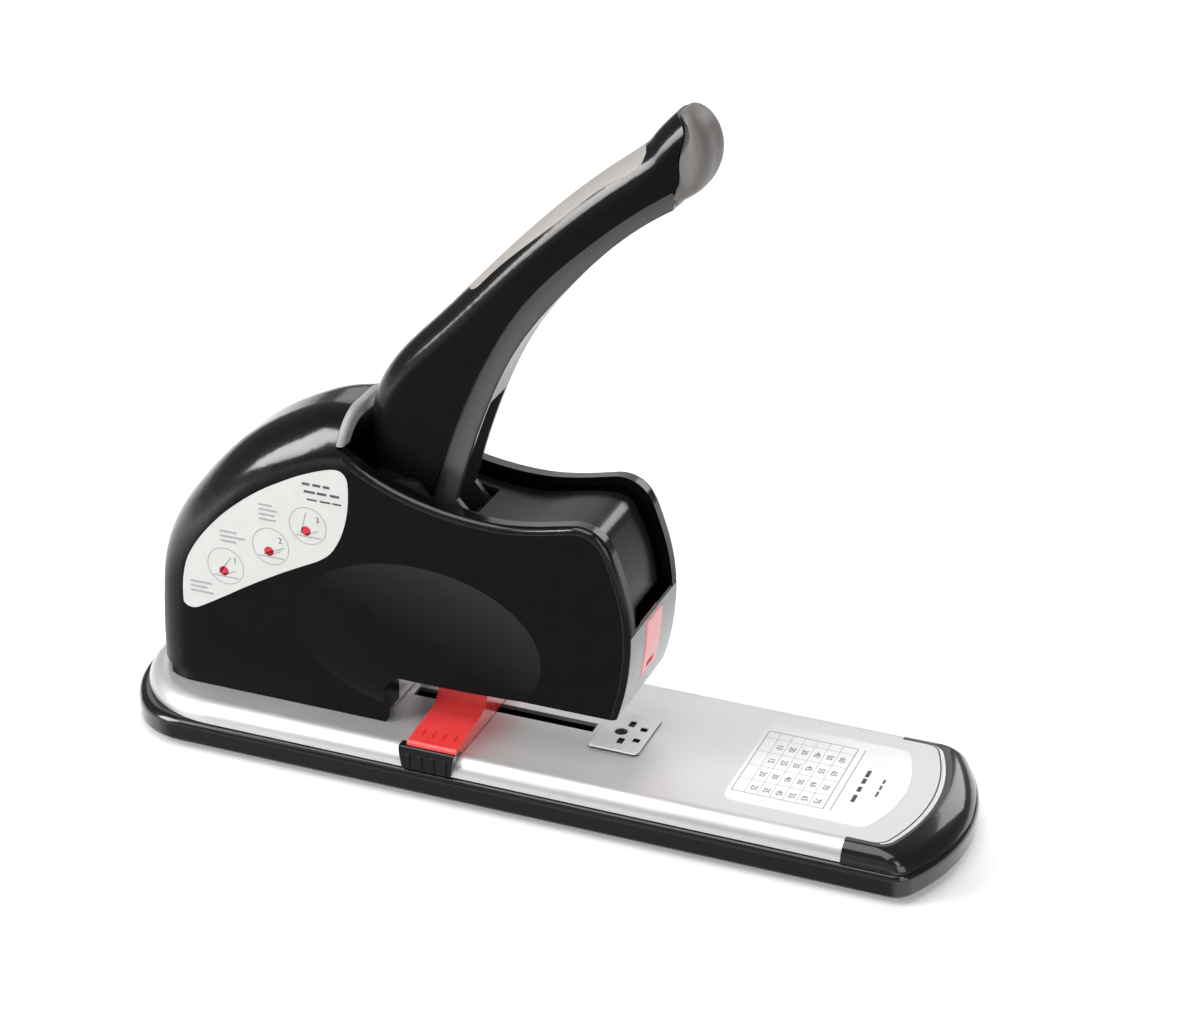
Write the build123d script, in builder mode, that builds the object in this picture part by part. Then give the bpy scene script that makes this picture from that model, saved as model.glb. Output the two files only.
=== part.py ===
"""Heavy duty lever stapler: base, standing body, handle, drive, magazine and paper stop, in millimetres.

+X is the stapling end, -Y the near side of the photograph, +Z up, and the table is at Z = 0.
"""

import os
from math import cos, radians, sin

from build123d import *

os.makedirs("parts", exist_ok=True)

# Base
BASE_L = 290.0
BASE_W = 75.0
BASE_X = BASE_L / 2
TRAY_Z0 = 2.3
TRAY_Z1 = 10.9
TRAY_WALL = 3.0
TRAY_FLOOR = 2.6
FRONT_SIDE_X = 133.0
REAR_SIDE_X = -126.0
PLATE_Z = 17.1
SHEET = 1.5
COVER_W = 72.4
COVER_EDGE_Z = 11.2
COVER_REAR_X = -142.4
CAP_X = 113.0
ROLL_R = 5.7
TONGUE_HW = 30.4
TONGUE_X = 131.6
TONGUE_SAG = 7.3
SLOT_X = (-46.0, 18.0)
SLOT_HW = 2.7
FOOT_R = 7.0

# Anvil
ANVIL_X = (19.5, 37.0)
ANVIL_HW = 11.8
ANVIL_RISE = 0.8
STAPLE_X = 28.9
ANVIL_SCREW_X = 27.0

# Standing body
BODY_HW = 22.0
WALL = 3.0
RIM_HW = 16.5
BODY_REAR_X = -135.0
DOME_Z0 = 26.0
DOME = [(-133.8, 48.0), (-130.6, 65.5), (-117.2, 87.5), (-96.8, 108.0), (-76.5, 119.5)]
COLLAR_X = -62.0
COLLAR_Z = 123.4
RIM_REAR = (-62.0, 113.6)
RIM_FRONT = (17.5, 101.1)
BROW = (32.0, 91.8)
THROAT_Z = 35.5
THROAT_X = -47.0
NOSE_X = 33.6
NOSE_TOP_Z = 65.4
NOSE_SKIN = 1.0
NOSE_HW = 20.3
SHOULDER_R = 17.0
FRAME_Y = (12.0, 14.0)
BULGE_AT = (-35.0, 50.0)
BULGE_X = 43.0
BULGE_Z = 27.0
BULGE_RISE = 1.9

# Handle and drive
PIVOT = (-41.0, 95.5)
PRESS_DEG = 36.0
CRANK_R = 22.0
CRANK_DEG = 30.0
ROLLER_R = 3.6
CAM_GAP = 0.35
LEVER_PIN = (-104.0, 64.0)
LEVER_DEG = 7.4
LEVER_TIP = (22.8, 79.0)
LEVER_HW = 4.0
SHAFT_R = 4.0
RUN_FIT = 0.05
GRIP_HW = 10.0
CHANNEL_HW = 8.0
CHANNEL_T = 2.0

# Magazine
RAIL_X = (-44.0, 27.9)
RAIL_Z = 38.9
CROWN_Z = 52.9
BLADE_Z = 53.5
STRIP_REAR_X = -1.8
PUSHER_L = 12.0

# Paper stop
STOP_X = (-33.2, -16.0)
GRIP_FOOT_Z = PLATE_Z - ROLL_R


def save(builder, name):
    """Labels one finished piece and writes its file."""
    builder.part.label = name
    export_step(builder.part, f"parts/{name}.step")


def base_outline(inset):
    """Plan of the base: straight sides, a wide front arc and a rounder rear end."""
    hw = BASE_W / 2 - inset
    with BuildSketch() as plan:
        with BuildLine():
            Line((REAR_SIDE_X, -hw), (FRONT_SIDE_X, -hw))
            ThreePointArc((FRONT_SIDE_X, -hw), (BASE_X - inset, 0), (FRONT_SIDE_X, hw))
            Line((FRONT_SIDE_X, hw), (REAR_SIDE_X, hw))
            ThreePointArc((REAR_SIDE_X, hw), (inset - BASE_X, 0), (REAR_SIDE_X, -hw))
        make_face()
        fillet(plan.vertices().group_by(Axis.X)[0], 24 - inset)
        fillet(plan.vertices().group_by(Axis.X)[-1], max(8 - inset, 1.5))
    return plan.sketch


def cover_outline(inset):
    """Plan of the rolled cover, square at the nose cap and half round at the rear."""
    hw = COVER_W / 2 - inset
    round_x = COVER_REAR_X + COVER_W / 2
    with BuildSketch() as plan:
        with BuildLine():
            Line((round_x, -hw), (CAP_X, -hw))
            Line((CAP_X, -hw), (CAP_X, hw))
            Line((CAP_X, hw), (round_x, hw))
            ThreePointArc((round_x, hw), (round_x - hw, 0), (round_x, -hw))
        make_face()
    return plan.sketch


def tongue_outline(inset):
    """Plan of the flat front tongue with its arched end."""
    hw = TONGUE_HW - inset
    end = TONGUE_X - inset
    with BuildSketch() as plan:
        with BuildLine():
            Line((CAP_X - 2, -hw), (end - TONGUE_SAG, -hw))
            ThreePointArc((end - TONGUE_SAG, -hw), (end, 0), (end - TONGUE_SAG, hw))
            Line((end - TONGUE_SAG, hw), (CAP_X - 2, hw))
            Line((CAP_X - 2, hw), (CAP_X - 2, -hw))
        make_face()
        fillet(plan.vertices().sort_by(Axis.X)[-2:], 5 - inset)
    return plan.sketch


def cap_outline(half, end, sag, corner):
    """Plan of the nose cap at one height: straight sides and an arched front."""
    with BuildSketch() as plan:
        with BuildLine():
            Line((CAP_X + 0.1, -half), (end - sag, -half))
            ThreePointArc((end - sag, -half), (end, 0), (end - sag, half))
            Line((end - sag, half), (CAP_X + 0.1, half))
            Line((CAP_X + 0.1, half), (CAP_X + 0.1, -half))
        make_face()
        fillet(plan.vertices().sort_by(Axis.X)[-2:], corner)
    return plan.sketch


with BuildLine() as dome_path:
    Spline((BODY_REAR_X, DOME_Z0), *DOME, (COLLAR_X, COLLAR_Z), tangents=((0, 1), (1, 0.15)))

with BuildLine() as rim_path:
    Spline(RIM_REAR, (-46, 104.4), (-25.6, 98.5), (-5, 97.1), RIM_FRONT, tangents=((1, -0.75), (1, 0.24)))

with BuildLine() as brow_path:
    Spline(RIM_FRONT, (26.2, 99.8), BROW, tangents=((1, 0.24), (0.38, -1)))

with BuildLine() as front_path:
    Spline(BROW, (36.6, 77), (38, 62.6), (36.9, 49.5), (NOSE_X, THROAT_Z), tangents=((0.38, -1), (-0.32, -1)))


def inset_curve(path, inset):
    """A copy of one stretch of the body's side view, moved into the body."""
    edge = path.line.edges()[0]
    points = []
    for step in range(9):
        at = edge @ (step / 8)
        along = edge % (step / 8)
        points.append((at.X + inset * along.Y, at.Y - inset * along.X))
    return Spline(*points, tangents=((edge % 0), (edge % 1)))


def body_outline():
    """Side view of the standing body: dome, collar, dipped rim, bent front and open throat."""
    with BuildSketch() as side:
        with BuildLine():
            for path in (dome_path, rim_path, brow_path, front_path):
                add(path.line)
            Polyline((NOSE_X, THROAT_Z), (THROAT_X + 5, THROAT_Z), (THROAT_X, THROAT_Z - 5),
                     (THROAT_X, PLATE_Z + 0.1), (BODY_REAR_X, PLATE_Z + 0.1), (BODY_REAR_X, DOME_Z0))
            Line((COLLAR_X, COLLAR_Z), RIM_REAR)
        make_face()
    return side.sketch


def head_line(inset):
    """Points of the head's rim and front at an inset, from the handle opening to the nose."""
    return [(-28.0, 99.1 - inset), (-17.0, 97.4 - inset), (-5.0, 97.1 - inset),
            (RIM_FRONT[0] - inset * 0.1, RIM_FRONT[1] - inset), (26.2 - inset * 0.6, 99.8 - inset * 0.9),
            (BROW[0] - inset, BROW[1] - inset * 0.4), (36.6 - inset, 77.0), (37.8 - inset, NOSE_TOP_Z + 2.6)]


def nose_curve(inset):
    """Points of the front's profile below the head, moved into the body."""
    return [(38.05 - inset, NOSE_TOP_Z), (38.0 - inset, 62.0), (36.9 - inset, 49.5), (33.7 - inset, 36.0)]


def crown_points(depth):
    """Points along the handle's crown, moved a depth into the handle."""
    dx = depth * 0.70
    dz = -depth * 0.71
    return [(-54.0 + dx, 131.1 + dz), (-34.3 + dx, 155.7 + dz), (-13.7 + dx, 178.0 + dz),
            (6.2 + dx, 198.1 + dz), (25.4 + dx, 214.5 + dz)]


PARTING = [(-33.8, 96.2), (-27.1, 118.6), (-16.4, 143.8), (-2.7, 166.7), (16.9, 187.7), (35.8, 203.8), (46.6, 211.4)]
UNDERSIDE = [(-26.1, 96.0), (-21.2, 112.8), (-14.1, 132.8), (-3.7, 153.8), (9.9, 171.9), (29.2, 192.4), (45.2, 204.3)]
OPEN_Z = 125.3
CRANK_PIN = (PIVOT[0] + CRANK_R * cos(radians(CRANK_DEG)), PIVOT[1] - CRANK_R * sin(radians(CRANK_DEG)))


def disc(plane, at, radius, half, inner=0.0):
    """A round piece across the stapler at a point of the side view, with an optional bore."""
    with BuildPart() as piece:
        with BuildSketch(plane):
            with Locations(at):
                Circle(radius)
                if inner:
                    Circle(inner, mode=Mode.SUBTRACT)
        extrude(amount=half, both=True)
    return piece.part


def coil(start, direction, radius, wire, length, turns):
    """A helical spring from a start point along a direction."""
    with BuildPart() as spring:
        with BuildLine() as path:
            Helix(pitch=length / turns, height=length, radius=radius, center=start, direction=direction)
        with BuildSketch(Plane(origin=path.line @ 0, z_dir=path.line % 0)):
            Circle(wire / 2)
        sweep(is_frenet=True)
    return spring.part


# Base tray: open at the top, with four screw towers under the standing body
TOWERS = [(-108.0, -9.0), (-108.0, 9.0), (-60.0, -9.0), (-60.0, 9.0)]
FEET = [(x, y) for x in (-118.0, 110.0) for y in (-24.0, 24.0)]

with BuildPart() as base_tray:
    with BuildSketch(Plane.XY.offset(TRAY_Z0)):
        add(base_outline(0))
    extrude(amount=TRAY_Z1 - TRAY_Z0)
    fillet(base_tray.faces().sort_by(Axis.Z)[-1].edges(), 2.6)
    fillet(base_tray.faces().sort_by(Axis.Z)[0].edges(), 1.6)
    with BuildSketch(Plane.XY.offset(TRAY_Z0 + TRAY_FLOOR)):
        add(base_outline(TRAY_WALL + 4.0))
    extrude(amount=TRAY_Z1, mode=Mode.SUBTRACT)
    with BuildSketch(Plane.XY.offset(TRAY_Z0 + TRAY_FLOOR)):
        with Locations(*TOWERS):
            Circle(4.4)
    extrude(amount=PLATE_Z - SHEET - TRAY_Z0 - TRAY_FLOOR - 0.1)
    with Locations(*[(x, y, TRAY_Z0) for x, y in TOWERS]):
        Cylinder(2.1, PLATE_Z, align=(Align.CENTER, Align.CENTER, Align.MIN), mode=Mode.SUBTRACT)
        Cylinder(3.8, 2.4, align=(Align.CENTER, Align.CENTER, Align.MIN), mode=Mode.SUBTRACT)
    with Locations(*[(x, y, TRAY_Z0) for x, y in FEET]):
        Cylinder(FOOT_R + 0.1, 0.8, align=(Align.CENTER, Align.CENTER, Align.MIN), mode=Mode.SUBTRACT)
save(base_tray, "base_tray")

with BuildPart() as rubber_feet:
    with Locations(*[(x, y, 0) for x, y in FEET]):
        Cylinder(FOOT_R, TRAY_Z0 + 0.8, align=(Align.CENTER, Align.CENTER, Align.MIN))
    fillet(rubber_feet.faces().filter_by(Axis.Z).group_by(Axis.Z)[0].edges(), 0.5)
save(rubber_feet, "rubber_feet")

# Rolled silver cover with the stop's slot, the anvil window and the front tongue
with BuildPart() as cover_hollow:
    with BuildSketch(Plane.XY.offset(COVER_EDGE_Z - 1)):
        add(cover_outline(SHEET))
    extrude(amount=PLATE_Z - SHEET - COVER_EDGE_Z + 1)
    rolled = cover_hollow.faces().sort_by(Axis.Z)[-1].edges().sort_by(Axis.X)[:-1]
    fillet(rolled, ROLL_R - SHEET)
    with BuildSketch(Plane.YZ.offset(CAP_X)):
        add(cover_hollow.faces().sort_by(Axis.X)[-1])
    extrude(amount=2)

with BuildPart() as base_cover:
    with BuildSketch(Plane.XY.offset(COVER_EDGE_Z)):
        add(cover_outline(0))
    extrude(amount=PLATE_Z - COVER_EDGE_Z)
    rolled = base_cover.faces().sort_by(Axis.Z)[-1].edges().sort_by(Axis.X)[:-1]
    fillet(rolled, ROLL_R)
    add(cover_hollow.part, mode=Mode.SUBTRACT)
    with BuildSketch(Plane.XY.offset(PLATE_Z - SHEET)):
        add(tongue_outline(0))
    extrude(amount=SHEET)
    with BuildSketch(Plane.XY.offset(PLATE_Z - SHEET)):
        with Locations(((SLOT_X[0] + SLOT_X[1]) / 2, 0)):
            Rectangle(SLOT_X[1] - SLOT_X[0], 2 * SLOT_HW)
        with Locations(((ANVIL_X[0] + ANVIL_X[1]) / 2, 0)):
            RectangleRounded(ANVIL_X[1] - ANVIL_X[0] - 2.4, 2 * ANVIL_HW - 2.4, 1.0)
        with Locations(*TOWERS):
            Circle(2.1)
    extrude(amount=SHEET, mode=Mode.SUBTRACT)
save(base_cover, "base_cover")

# Nose cap slopes from the tray's front end up to a thin rim round the bed of the cover's tongue
CAP_FOOT = (36.6, 143.9, 11.4, 7.0)
CAP_WAIST = (35.5, 140.8, 10.2, 6.6)
CAP_RIM = (32.0, 134.2, 7.6, 5.6)
with BuildPart() as nose_cap:
    for level, section in ((TRAY_Z1, CAP_FOOT), (TRAY_Z1 + 3.6, CAP_WAIST), (PLATE_Z - 0.1, CAP_RIM)):
        with BuildSketch(Plane.XY.offset(level)):
            add(cap_outline(*section))
    loft()
    with BuildSketch(Plane.XY.offset(PLATE_Z - SHEET - 0.1)):
        add(tongue_outline(-0.15))
    extrude(amount=5, mode=Mode.SUBTRACT)
    with BuildSketch(Plane.XY.offset(TRAY_Z1)):
        add(base_outline(6))
        with Locations((CAP_X - 146.9, 0)):
            Rectangle(300, 100, mode=Mode.SUBTRACT)
    extrude(amount=3.0, mode=Mode.SUBTRACT)
save(nose_cap, "nose_cap")

with BuildPart() as anvil_plate:
    with BuildSketch(Plane.XY.offset(PLATE_Z)):
        with Locations(((ANVIL_X[0] + ANVIL_X[1]) / 2, 0)):
            RectangleRounded(ANVIL_X[1] - ANVIL_X[0], 2 * ANVIL_HW, 1.6)
    extrude(amount=ANVIL_RISE)
    chamfer(anvil_plate.faces().sort_by(Axis.Z)[-1].edges(), 0.35)
    with BuildSketch(Plane.XY.offset(PLATE_Z - 3)):
        with Locations(((ANVIL_X[0] + ANVIL_X[1]) / 2, 0)):
            RectangleRounded(ANVIL_X[1] - ANVIL_X[0] - 2.6, 2 * ANVIL_HW - 2.6, 1.0)
    extrude(amount=3)
    with Locations((STAPLE_X, -5.4, PLATE_Z + ANVIL_RISE), (STAPLE_X, 5.4, PLATE_Z + ANVIL_RISE)):
        Box(2.2, 3.6, 1.4, mode=Mode.SUBTRACT)
    with Locations((33.6, -3.5, PLATE_Z + ANVIL_RISE), (33.6, 3.5, PLATE_Z + ANVIL_RISE)):
        Box(2.4, 2.4, 2.4, mode=Mode.SUBTRACT)
    with Locations((ANVIL_SCREW_X, 0, PLATE_Z + ANVIL_RISE)):
        CounterSinkHole(1.3, 2.3, depth=10)
save(anvil_plate, "anvil_plate")

with BuildPart() as anvil_screw:
    with Locations((ANVIL_SCREW_X, 0, PLATE_Z - 6)):
        Cylinder(1.2, 5.8, align=(Align.CENTER, Align.CENTER, Align.MIN))
    with Locations((ANVIL_SCREW_X, 0, PLATE_Z + ANVIL_RISE - 1.1)):
        Cone(1.2, 2.0, 0.9, align=(Align.CENTER, Align.CENTER, Align.MIN))
    with Locations((ANVIL_SCREW_X, 0, PLATE_Z + ANVIL_RISE)):
        Box(2.8, 0.6, 1.2, mode=Mode.SUBTRACT)
        Box(0.6, 2.8, 1.2, mode=Mode.SUBTRACT)
save(anvil_screw, "anvil_screw")

with BuildPart() as base_screws:
    with Locations(*[(x, y, TRAY_Z0 + 0.5) for x, y in TOWERS]):
        Cylinder(3.5, 1.8, align=(Align.CENTER, Align.CENTER, Align.MIN))
        Cylinder(2.0, 18.4, align=(Align.CENTER, Align.CENTER, Align.MIN))
        Cylinder(1.2, 1.0, align=(Align.CENTER, Align.CENTER, Align.MIN), mode=Mode.SUBTRACT)
save(base_screws, "base_screws")

with BuildPart() as table_label:
    with BuildSketch(Plane.XY.offset(PLATE_Z)):
        with BuildLine():
            Line((70, -24), (117, -24))
            ThreePointArc((117, -24), (123, 0), (117, 24))
            Line((117, 24), (70, 24))
            Line((70, 24), (70, -24))
        make_face()
    extrude(amount=0.15)
    fillet(table_label.edges().filter_by(Axis.Z), 4)
save(table_label, "table_label")

# Standing body: one half drawn, the other mirrored
BOLTS = [(-126.0, 27.0), (-123.0, 64.0), (-88.0, 104.0)]

def body_block(inset, rim_fillet):
    """Near half of the standing body as a full block: round shouldered dome behind, straight cheek in front."""
    half = BODY_HW - inset
    foot = PLATE_Z + max(inset, 0.1)
    wall_x = COLLAR_X - inset
    with BuildPart() as dome:
        with BuildSketch(Plane.XZ):
            with BuildLine():
                arch = inset_curve(dome_path, inset)
                Polyline(arch @ 0, (BODY_REAR_X + inset, 0), (-36, 0), (-36, (arch @ 1).Y + 4.0), arch @ 1)
            make_face()
        extrude(amount=half)
        outer = dome.faces().sort_by(Axis.Y)[0].edges()
        fillet(outer.filter_by(lambda e: e.center().X < -40 and e.center().Z > 10), SHOULDER_R - inset)
    with BuildPart() as waste:
        with Locations((-46, 0, 1)):
            Box(-46 - wall_x, 60, 200, align=(Align.MAX, Align.MAX, Align.MIN))
        add(dome.part, mode=Mode.SUBTRACT)
    with BuildPart() as rear:
        add(dome.part)
        with Locations((wall_x, 0, 0)):
            Box(100, 100, 400, align=(Align.MIN, Align.CENTER, Align.CENTER), mode=Mode.SUBTRACT)
        with Locations((-100, 0, foot)):
            Box(200, 100, 50, align=(Align.CENTER, Align.CENTER, Align.MAX), mode=Mode.SUBTRACT)
    with BuildPart() as block:
        with BuildSketch(Plane.XZ):
            with BuildLine():
                rim, brow, front = [inset_curve(path, inset) for path in (rim_path, brow_path, front_path)]
                Polyline(front @ 1, (THROAT_X + 5 - inset * 0.4, (front @ 1).Y),
                         (THROAT_X - inset, THROAT_Z - 5 + inset * 0.4), (THROAT_X - inset, foot), (wall_x, foot),
                         (wall_x, (rim @ 0).Y))
                if inset:
                    Line((wall_x, (rim @ 0).Y), rim @ 0)
            make_face()
        extrude(amount=half)
        if rim_fillet:
            outer = block.faces().sort_by(Axis.Y)[0].edges()
            fillet(outer.filter_by(lambda e: e.center().X > COLLAR_X + 2 and e.center().Z > 45), rim_fillet)
        add(waste.part, mode=Mode.SUBTRACT)
        add(rear.part)
    return block.part


with BuildPart() as body_hollow:
    add(body_block(WALL, 0))

with BuildPart() as half_outer:
    add(body_block(0, 2.2))

# Shallow oval bulge on the side, cut off at the throat's edge
with BuildPart() as ellipsoid:
    Sphere(10)
    scale(by=(BULGE_X / 7.07, BULGE_RISE / 2.93, BULGE_Z / 7.07))

with BuildPart() as bulge:
    add(ellipsoid.part.moved(Location((BULGE_AT[0], BULGE_RISE * 2.41 - BODY_HW, BULGE_AT[1]))))
    with BuildSketch(Plane.XZ.offset(BODY_HW - 0.2)):
        add(body_outline())
    extrude(amount=10, mode=Mode.INTERSECT)

with BuildPart() as half_body:
    add(half_outer.part)
    add(body_hollow.part, mode=Mode.SUBTRACT)
    with Locations((0, 0, 100)):
        Box(400, 0.1, 400, mode=Mode.SUBTRACT)
    with Locations((COLLAR_X, 0, THROAT_Z + WALL + 25)):
        Box(120, 2 * RIM_HW, 120, align=(Align.MIN, Align.CENTER, Align.MIN), mode=Mode.SUBTRACT)
    with Locations((THROAT_X, 0, THROAT_Z - 6)):
        Box(120, 2 * RIM_HW, 60, align=(Align.MIN, Align.CENTER, Align.MIN), mode=Mode.SUBTRACT)
    with Locations((THROAT_X - WALL - 1, 0, PLATE_Z)):
        Box(12, 22.6, 40, align=(Align.MIN, Align.CENTER, Align.MIN), mode=Mode.SUBTRACT)
        Box(2.7, 24.2, 22, align=(Align.MIN, Align.CENTER, Align.MIN), mode=Mode.SUBTRACT)
    with Locations((0, 0, PLATE_Z)):
        Box(400, 2 * (BODY_HW - WALL), WALL + 0.2, align=(Align.CENTER, Align.CENTER, Align.MIN), mode=Mode.SUBTRACT)
    add(bulge.part)
    with BuildSketch(Plane.XZ.offset(-1)):
        with BuildLine():
            seat = Spline((38.05 - NOSE_SKIN - 0.3, NOSE_TOP_Z + 0.35), *nose_curve(NOSE_SKIN + 0.3)[1:],
                          (33.2 - NOSE_SKIN - 0.3, THROAT_Z - 1.0))
            Polyline(seat @ 1, (60, THROAT_Z - 1.0), (60, NOSE_TOP_Z + 0.35), seat @ 0)
        make_face()
    extrude(amount=NOSE_HW + 1.3, mode=Mode.SUBTRACT)
    with Locations((30.6, 0, THROAT_Z - 1)):
        Box(20, 2 * (BODY_HW - WALL), NOSE_TOP_Z + 1.35 - THROAT_Z, align=(Align.MIN, Align.CENTER, Align.MIN),
            mode=Mode.SUBTRACT)

with BuildPart() as near_housing:
    with BuildSketch(Plane.XZ.offset(0.1)):
        with Locations(*BOLTS):
            Circle(3.6)
    extrude(amount=BODY_HW)
    add(half_outer.part, mode=Mode.INTERSECT)
    add(half_body.part)
    with BuildSketch(Plane.XZ.offset(0.1)):
        with Locations(*BOLTS):
            Circle(1.4)
    extrude(amount=12, mode=Mode.SUBTRACT)
save(near_housing, "near_housing")

with BuildPart() as far_housing:
    with BuildSketch(Plane.XZ.offset(0.1)):
        with Locations(*BOLTS):
            Circle(4.6)
    extrude(amount=BODY_HW)
    add(half_outer.part, mode=Mode.INTERSECT)
    add(half_body.part)
    with BuildSketch(Plane.XZ):
        with Locations(*BOLTS):
            Circle(1.7)
    extrude(amount=2 * BODY_HW, mode=Mode.SUBTRACT)
    with BuildSketch(Plane.XZ.offset(6)):
        with Locations(*BOLTS):
            Circle(3.2)
    extrude(amount=BODY_HW, mode=Mode.SUBTRACT)
    mirror(about=Plane.XZ, mode=Mode.REPLACE)
save(far_housing, "far_housing")

with BuildPart() as housing_screws:
    with BuildSketch(Plane.XZ.offset(-6.1)):
        with Locations(*BOLTS):
            Circle(3.0)
    extrude(amount=-2.6)
    with BuildSketch(Plane.XZ.offset(10)):
        with Locations(*BOLTS):
            Circle(1.3)
    extrude(amount=-16.2)
save(housing_screws, "housing_screws")


def collar_section(inset):
    """Arched front opening of the dome, seen from the stapling end."""
    height = COLLAR_Z - inset - THROAT_Z
    with BuildSketch() as arch:
        with Locations((0, THROAT_Z + height / 2)):
            Rectangle(2 * (BODY_HW - inset), height)
        fillet(arch.vertices().group_by(Axis.Y)[-1], SHOULDER_R - inset)
    return arch.sketch


# Collar ring lines the dome's opening behind the handle
with BuildPart() as collar_ring:
    with BuildSketch(Plane.YZ.offset(COLLAR_X + 0.1)):
        add(collar_section(0.1))
    extrude(amount=2.4)
    fillet(collar_ring.faces().sort_by(Axis.X)[-1].edges().group_by(Axis.Z)[-1], 1.4)
    with BuildSketch(Plane.YZ.offset(COLLAR_X)):
        add(collar_section(4.6))
    extrude(amount=5, mode=Mode.SUBTRACT)
    with Locations((COLLAR_X, 0, RIM_REAR[1] + 0.2)):
        Box(20, 100, 200, align=(Align.CENTER, Align.CENTER, Align.MAX), mode=Mode.SUBTRACT)
save(collar_ring, "collar_ring")

# Dark cover inside the head: a bent sheet between the rims
HEAD_COVER_HW = 14.6
with BuildPart() as head_cover:
    with BuildSketch(Plane.XZ.offset(-HEAD_COVER_HW)):
        with BuildLine():
            skin = Spline(*head_line(4.2))
            lining = Spline(*head_line(5.8))
            Line(skin @ 0, lining @ 0)
            Line(skin @ 1, lining @ 1)
        make_face()
    extrude(amount=2 * HEAD_COVER_HW)
    skin_face = head_cover.faces().sort_by(lambda f: f.center().Z)[-1]
    fillet(skin_face.edges().filter_by(lambda e: e.length > 60), 0.8)
    with Locations((-18.4, 0, 95)):
        Box(20, 2 * CHANNEL_HW + 1.4, 20, align=(Align.MAX, Align.CENTER, Align.CENTER), mode=Mode.SUBTRACT)
    with BuildSketch(Plane.XZ):
        with Locations((2, 91.6)):
            Rectangle(6, 1.6)
    extrude(amount=BODY_HW - WALL - 0.1, both=True)
save(head_cover, "head_cover")

# Steel frame: two side plates, a floor and the web seen at the back of the throat
with BuildPart() as near_frame:
    with BuildSketch(Plane.XZ.offset(FRAME_Y[0])):
        with BuildLine():
            Polyline((-116, PLATE_Z + 0.2), (-116, 72), (-62, 97), (-44, 102), (-37, 102), (-30, 94), (-24, 86),
                     (18, 84), (20, 80), (20, 44), (-46, 44), (-50.5, 40), (-50.5, PLATE_Z + 0.2),
                     (-116, PLATE_Z + 0.2))
        make_face()
        with Locations(PIVOT, LEVER_PIN):
            Circle(SHAFT_R + 0.02, mode=Mode.SUBTRACT)
        with Locations((12, 48.5), (-36, 48.5)):
            Circle(1.83, mode=Mode.SUBTRACT)
    extrude(amount=FRAME_Y[1] - FRAME_Y[0])
    fillet(near_frame.edges().filter_by(Axis.Y).filter_by(lambda e: e.center().Z > 30 and e.center().X > -60), 1.0)
save(near_frame, "near_frame")

with BuildPart() as far_frame:
    mirror(near_frame.part, about=Plane.XZ)
save(far_frame, "far_frame")

with BuildPart() as frame_floor:
    with BuildSketch(Plane.XZ):
        with BuildLine():
            Polyline((-116, PLATE_Z + 0.2), (-116, PLATE_Z + 2.2), (-50.5, PLATE_Z + 2.2), (-50.5, THROAT_Z + 2),
                     (-48.5, THROAT_Z + 2), (-48.5, PLATE_Z + 0.2), (-116, PLATE_Z + 0.2))
        make_face()
    extrude(amount=FRAME_Y[0] - 0.1, both=True)
    with Locations(*[(x, y, PLATE_Z) for x, y in TOWERS]):
        Cylinder(2.05, 20, mode=Mode.SUBTRACT)
    fillet(frame_floor.edges().filter_by(Axis.Y).filter_by(lambda e: e.center().X > -49), 0.6)
save(frame_floor, "frame_floor")

with BuildPart() as pivot_shaft:
    add(disc(Plane.XZ, PIVOT, SHAFT_R, 15.8))
    chamfer(pivot_shaft.edges(), 0.4)
save(pivot_shaft, "pivot_shaft")

with BuildPart() as lever_shaft:
    add(disc(Plane.XZ, LEVER_PIN, SHAFT_R, 15.8))
    chamfer(lever_shaft.edges(), 0.4)
save(lever_shaft, "lever_shaft")

with BuildPart() as lever_spacers:
    for side in (-8.1, 8.1):
        add(disc(Plane.XZ.offset(side), LEVER_PIN, 6.0, 3.7, SHAFT_R + RUN_FIT))
save(lever_spacers, "lever_spacers")

with BuildPart() as shaft_clips:
    for side in (-14.6, 14.6):
        for at in (PIVOT, LEVER_PIN):
            add(disc(Plane.XZ.offset(side), at, 6.4, 0.4, SHAFT_R + 0.01))
save(shaft_clips, "shaft_clips")

# Fixed channel that the magazine slides in
with BuildPart() as magazine_channel:
    with BuildSketch(Plane.YZ.offset(-45)):
        with Locations((0, 45.3)):
            Rectangle(20.8, 15.4)
        with Locations((0, 46.3)):
            Rectangle(18.4, 15.4, mode=Mode.SUBTRACT)
    extrude(amount=72.4)
    with Locations((-10, 0, 38)):
        Box(46, 10, 3, mode=Mode.SUBTRACT)
    with BuildSketch(Plane.XZ):
        with Locations((12, 48.5), (-36, 48.5)):
            Circle(1.83)
    extrude(amount=30, both=True, mode=Mode.SUBTRACT)
save(magazine_channel, "magazine_channel")

with BuildPart() as channel_rivets:
    for side in (-1, 1):
        for at in ((12, 48.5), (-36, 48.5)):
            add(disc(Plane.XZ.offset(side * 11.2), at, 3.2, 0.7))
            add(disc(Plane.XZ.offset(side * 11.6), at, 1.8, 2.35))
save(channel_rivets, "channel_rivets")

# Return spring under the drive lever
SPRING_X = -80.0
with BuildPart() as spring_seat:
    with Locations((SPRING_X, 0, PLATE_Z + 2.3)):
        Cylinder(8.0, 2.6, align=(Align.CENTER, Align.CENTER, Align.MIN))
        Cylinder(4.0, 9.0, align=(Align.CENTER, Align.CENTER, Align.MIN))
save(spring_seat, "spring_seat")

with BuildPart() as return_spring:
    add(coil((SPRING_X, 0, PLATE_Z + 5.8), (0, 0, 1), 5.4, 1.4, 33.0, 7))
save(return_spring, "return_spring")

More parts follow.
